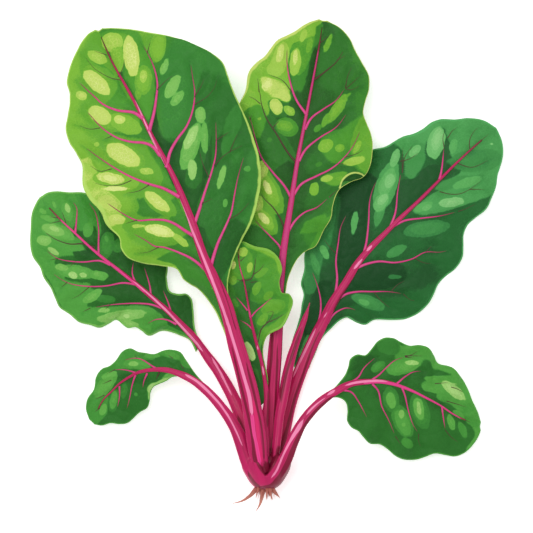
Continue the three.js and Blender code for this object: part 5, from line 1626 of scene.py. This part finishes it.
def leaf_skin(name, greens, rim_highlight_green):
    """Chard leaf: a living blade with a grown, waxy skin.

    The wax gives the eye a soft, broad sheen instead of a mirror. The greens carry painted light and shade: a
    lit and a shaded half of the blade, painted shade in deep green along the midrib and veins, and painted
    highlights as pale islands on the blisters between them and as a pale line round the margin.
    """
    material, tree = new_material(name)
    place = add_node(tree, "TexCoord", out="Object")
    wobble = add_node(tree, "TexNoise", {"Vector": place, "Scale": scale_of(PATCH_RAGGEDNESS), "Detail": 2.0})
    drift = add_node(tree, "TexNoise", {"Vector": place, "Scale": scale_of(GREEN_DRIFT), "Detail": 2.0})
    # The tone carries painted light and shade: a lit and a shaded half of the blade, and painted shade by the
    # midrib and veins.
    tone, cool, edge, under = (
        add_node(tree, "Attribute", out="Fac", attribute_name=name)
        for name in ("tone", "cool", "edge", "underside")
    )
    drift = add_node(tree, "Math", {0: drift, 1: 0.5}, operation="SUBTRACT")
    tone = add_node(tree, "Math", {0: drift, 1: 0.15, 2: tone}, operation="MULTIPLY_ADD")

    # Patches of painted highlight on the blisters and of painted shade, each with a slightly ragged edge and
    # a paler core.
    for layer in PATCH_LAYERS:
        field = add_node(tree, "Attribute", out="Fac", attribute_name=layer + "_field")
        level = add_node(tree, "Attribute", out="Fac", attribute_name=layer + "_tone")
        ragged = add_node(tree, "Math", {0: wobble, 1: 2.2, 2: field}, operation="MULTIPLY_ADD")
        mask = add_node(tree, "MapRange", {0: ragged, 1: 0.85, 2: 1.45}, interpolation_type="SMOOTHSTEP")
        core = add_node(tree, "MapRange", {0: ragged, 1: 2.9, 2: 3.5, 3: 0.0, 4: 0.03})
        level = add_node(tree, "Math", {0: level, 1: core}, operation="ADD")
        tone = add_node(tree, "Mix", {0: mask, 2: tone, 3: level}, data_type="FLOAT")

    # The net of finest veins is a little paler than the skin between them.
    net = add_node(tree, "TexVoronoi", {"Vector": place, "Scale": scale_of(VEIN_NET)},
                   out="Distance", feature="DISTANCE_TO_EDGE")
    net = add_node(tree, "MapRange", {0: net, 1: 0.0, 2: 0.10, 3: 1.0, 4: 0.0})
    tone = add_node(tree, "Math", {0: net, 1: 0.035, 2: tone}, operation="MULTIPLY_ADD")
    green = add_node(tree, "ValToRGB", {0: tone})
    set_stops(green.node, plateaus(greens, 0.5))
    cooler = add_node(tree, "ValToRGB", {0: tone})
    set_stops(cooler.node, plateaus(MID_GREENS, 0.5))
    green = add_node(tree, "Mix", {0: cool, 6: green, 7: cooler}, out=2, data_type="RGBA")
    grain = add_node(tree, "TexNoise", {"Vector": place, "Scale": scale_of(LEAF_GRAIN), "Detail": 3.0})
    lift = add_node(tree, "MapRange", {0: grain, 1: 0.25, 2: 0.75, 3: 0.93, 4: 1.07})
    colour = add_node(tree, "Mix", {0: 1.0, 6: green, 7: lift}, out=2, data_type="RGBA",
                      blend_type="MULTIPLY")

    # Painted highlight: a pale line round the margin and along the folds.
    edge = add_node(tree, "Math", {0: wobble, 1: 0.8, 2: edge}, operation="MULTIPLY_ADD")
    rim = add_node(tree, "MapRange", {0: edge, 1: 1.25, 2: 1.75, 3: 0.9, 4: 0.0})
    colour = add_node(tree, "Mix", {0: rim, 6: colour, 7: linear(rim_highlight_green)}, out=2, data_type="RGBA")
    under = add_node(tree, "Math", {0: under, 1: 0.6}, operation="MULTIPLY")
    colour = add_node(tree, "Mix", {0: under, 6: colour, 7: linear(UNDERSIDE_GREEN)}, out=2, data_type="RGBA")

    height = add_node(tree, "Math", {0: net, 1: -0.6, 2: grain}, operation="MULTIPLY_ADD")
    bump = add_node(tree, "Bump", {"Height": height, "Strength": 0.35, "Distance": 0.0004})
    gloss = add_node(tree, "MapRange", {0: grain, 3: 0.40, 4: 0.56})
    shader = add_node(tree, "BsdfPrincipled", {
        "Base Color": colour, "Roughness": gloss, "Normal": bump, "IOR": 1.42, "Specular IOR Level": 0.15,
    })
    add_node(tree, "OutputMaterial", {"Surface": shader})
    return material


def stalk_skin():
    """Ruby chard stalk: a juicy stem with a smooth grown skin over strings of fibre.

    The tight, wet skin gives the eye a clear sheen, and the strings give fine streaks along the stalk. Its
    pale and hot pink lines are painted highlights and its bright red band is painted light; the deep red
    between the ridges and in the grooves is partly the stalk's own striping and partly painted shade, and in
    the crown's hollow it is painted shade.
    """
    material, tree = new_material("chard_stalk_skin")
    fibre = add_node(tree, "Attribute", out="Vector", attribute_name="fibre")
    ridge, hollow_shade, tip = (
        add_node(tree, "Attribute", out="Fac", attribute_name=name) for name in ("flute", "hollow_shade", "tip")
    )
    stretched = add_node(tree, "Mapping", {"Vector": fibre, "Scale": STALK_FIBRES})
    streak = add_node(tree, "TexNoise", {"Vector": stretched, "Scale": 1.0, "Detail": 3.0})
    ridge = add_node(tree, "Math", {0: streak, 1: 1.6, 2: ridge}, operation="MULTIPLY_ADD")
    # Deeper red in the furrows between the flutes, partly the stalk's own striping and partly painted shade,
    # and painted shade in the crown's hollow.
    furrow = add_node(tree, "MapRange", {0: ridge, 1: 0.45, 2: -0.25, 3: 0.0, 4: 0.28},
                      interpolation_type="SMOOTHSTEP")
    dark = add_node(tree, "Math", {0: furrow, 1: hollow_shade}, operation="MAXIMUM")
    colour = add_node(tree, "Mix", {0: dark, 6: linear(STALK_MAGENTA), 7: linear(STALK_MAROON)},
                      out=2, data_type="RGBA")
    colour = add_node(tree, "Mix", {0: tip, 6: colour, 7: linear(TWIG_BROWN)}, out=2, data_type="RGBA")
    # Lines of the stalk's own pink and dark red, of painted shade, of painted light and of painted highlight.
    for layer, (_, line_colour) in STROKE_LAYERS.items():
        stroke = add_node(tree, "Attribute", out="Fac", attribute_name=layer)
        stroke = add_node(tree, "Math", {0: streak, 1: 0.9, 2: stroke}, operation="MULTIPLY_ADD")
        stroke = add_node(tree, "MapRange", {0: stroke, 1: 0.35, 2: 0.65, 3: 0.0, 4: 0.94},
                          interpolation_type="SMOOTHSTEP")
        colour = add_node(tree, "Mix", {0: stroke, 6: colour, 7: linear(line_colour)},
                          out=2, data_type="RGBA")
    lift = add_node(tree, "MapRange", {0: streak, 1: 0.3, 2: 0.7, 3: 0.9, 4: 1.1})
    colour = add_node(tree, "Mix", {0: 1.0, 6: colour, 7: lift}, out=2, data_type="RGBA",
                      blend_type="MULTIPLY")
    bump = add_node(tree, "Bump", {"Height": streak, "Strength": 0.3, "Distance": 0.0005})
    shader = add_node(tree, "BsdfPrincipled", {
        "Base Color": colour, "Roughness": 0.36, "Normal": bump, "IOR": 1.42, "Specular IOR Level": 0.35,
    })
    add_node(tree, "OutputMaterial", {"Surface": shader})
    return material


def vein_skin():
    """Side veins: the stalk's grown skin, thinner and duller.

    Its pink crests are a painted highlight along the tops of the veins, and it turns brown where the veins
    run out into dry, hair-fine ends.
    """
    material, tree = new_material("chard_vein_skin")
    place = add_node(tree, "TexCoord", out="Object")
    mottle = add_node(tree, "TexNoise", {"Vector": place, "Scale": scale_of(VEIN_MOTTLE), "Detail": 2.0})
    crest = add_node(tree, "Attribute", out="Fac", attribute_name="crest")
    # Painted highlight: pink along the top of each vein.
    lit = add_node(tree, "MapRange", {0: crest, 1: 0.45, 2: 1.0, 3: 0.0, 4: 0.6})
    lit = add_node(tree, "Math", {0: lit, 1: mottle}, operation="MULTIPLY")
    red = add_node(tree, "Mix", {0: lit, 6: linear(VEIN_MAGENTA), 7: linear(VEIN_HIGHLIGHT_PINK)},
                   out=2, data_type="RGBA")
    brown = add_node(tree, "Attribute", out="Fac", attribute_name="brown")
    brown = add_node(tree, "Math", {0: mottle, 1: 0.35, 2: brown}, operation="MULTIPLY_ADD")
    brown = add_node(tree, "MapRange", {0: brown, 1: 0.3, 2: 1.1, 3: 0.0, 4: 1.0})
    colour = add_node(tree, "Mix", {0: brown, 6: red, 7: linear(TWIG_BROWN)}, out=2, data_type="RGBA")
    shader = add_node(tree, "BsdfPrincipled", {
        "Base Color": colour, "Roughness": 0.42, "IOR": 1.42, "Specular IOR Level": 0.35,
    })
    add_node(tree, "OutputMaterial", {"Surface": shader})
    return material


def root_bark():
    """Root skin: thin bark that has dried and shrunk on the root.

    It gives the eye a matt, wrinkled tan that is browner near the crown.
    """
    material, tree = new_material("root_bark")
    place = add_node(tree, "TexCoord", out="Object")
    grain = add_node(tree, "TexNoise", {"Vector": place, "Scale": scale_of(ROOT_GRAIN), "Detail": 4.0})
    along = add_node(tree, "SeparateXYZ", {0: place}, out="Y")
    near_crown = add_node(tree, "MapRange", {0: along, 1: -0.030, 2: -0.018, 3: 0.0, 4: 0.6})
    brown = add_node(tree, "Math", {0: grain, 1: 0.7, 2: near_crown}, operation="MULTIPLY_ADD")
    brown = add_node(tree, "MapRange", {0: brown, 1: 0.25, 2: 0.95})
    colour = add_node(tree, "Mix", {0: brown, 6: linear(ROOT_TAN), 7: linear(ROOT_BROWN)},
                      out=2, data_type="RGBA")
    bump = add_node(tree, "Bump", {"Height": grain, "Strength": 0.5, "Distance": 0.0005})
    shader = add_node(tree, "BsdfPrincipled", {
        "Base Color": colour, "Roughness": 0.8, "Normal": bump, "IOR": 1.45,
    })
    add_node(tree, "OutputMaterial", {"Surface": shader})
    return material


# ---- Camera, light and floor ----


def add_camera():
    """A long lens far above the plant, looking straight down."""
    data = bpy.data.cameras.new("camera")
    data.lens = LENS
    data.sensor_width = SENSOR
    camera = bpy.data.objects.new("camera", data)
    distance = VIEW_WIDTH * LENS / SENSOR
    camera.location = (VIEW_CENTRE[0] * MM, VIEW_CENTRE[1] * MM, (VIEW_HEIGHT + distance) * MM)
    bpy.context.scene.collection.objects.link(camera)
    bpy.context.scene.camera = camera


def add_light(name, place, size, power):
    """A square soft light that looks at the middle of the plant."""
    data = bpy.data.lights.new(name, "AREA")
    data.size = size
    data.energy = power
    light = bpy.data.objects.new(name, data)
    light.location = place
    aim = Vector(LIGHT_AIM) - Vector(place)
    light.rotation_euler = aim.to_track_quat("-Z", "Y").to_euler()
    bpy.context.scene.collection.objects.link(light)


def add_studio():
    """Plain white surroundings and two soft lights."""
    world = bpy.data.worlds.new("studio")
    bpy.context.scene.world = world
    world.use_nodes = True
    background = world.node_tree.nodes["Background"]
    background.inputs["Color"].default_value = (1, 1, 1, 1)
    background.inputs["Strength"].default_value = SKY_STRENGTH
    add_light("key", *KEY_LIGHT)
    add_light("fill", *FILL_LIGHT)
    bpy.context.scene.view_settings.view_transform = "Standard"


def add_floor():
    """A matt white board, lit a little from beneath as on a light table, so that shadows stay pale."""
    bpy.ops.object.select_all(action="DESELECT")
    bpy.ops.mesh.primitive_plane_add(size=FLOOR_SIZE, location=(0, 0, -FLOOR_DROP))
    floor = bpy.context.object
    floor.name = "floor"
    material, tree = new_material("matt_white_board")
    shader = add_node(tree, "BsdfPrincipled", {
        "Base Color": linear(FLOOR_WHITE), "Roughness": 0.9, "Emission Color": linear(GLOW_WHITE),
        "Emission Strength": FLOOR_GLOW,
    })
    add_node(tree, "OutputMaterial", {"Surface": shader})
    floor.data.materials.append(material)


# ---- The bunch ----


def build_leaf(leaf, stalk_finish, vein_finish):
    """One leaf: its side veins, its blade, and its stalk with the midrib."""
    name = leaf["name"]
    greens, rim_highlight_green, slot = BLADE_FINISHES[name]
    blade = make_blade(leaf)
    veins = make_veins(leaf, height_finder(blade))
    finish_piece(veins, vein_finish, "stalk_red")
    thicken(blade)
    blade.name = name + "_sheet"
    finish_piece(blade, leaf_skin(name + "_skin", greens, rim_highlight_green), slot, name + "_blade")
    is_low = leaf in (LOW_LEFT_LEAF, LOW_RIGHT_LEAF)
    start = Curve(leaf["line"]).part_at_y(CROWN_REACH - CROWN_OVERLAP) if is_low else 0.0
    stalk = make_stalk(leaf, start, leaf["rib_end"], is_low)
    stalk.name = name + "_rib"
    finish_piece(stalk, stalk_finish, "stalk_red", name + "_stalk")


def build_bunch():
    """All the leaves, the young stalk, the crown and the roots."""
    stalk_finish = stalk_skin()
    vein_finish = vein_skin()
    for leaf in LEAVES:
        build_leaf(leaf, stalk_finish, vein_finish)
    young = make_stalk(YOUNG_STALK, 0.0, 1.0, False)
    young.name = "young_stalk_skin"
    finish_piece(young, stalk_finish, "stalk_red", "young_stalk")
    finish_piece(make_crown(), stalk_finish, "crown_red", "crown")
    finish_piece(make_roots(), root_bark(), "root_tan", "roots")


add_camera()
add_studio()
add_floor()
build_bunch()
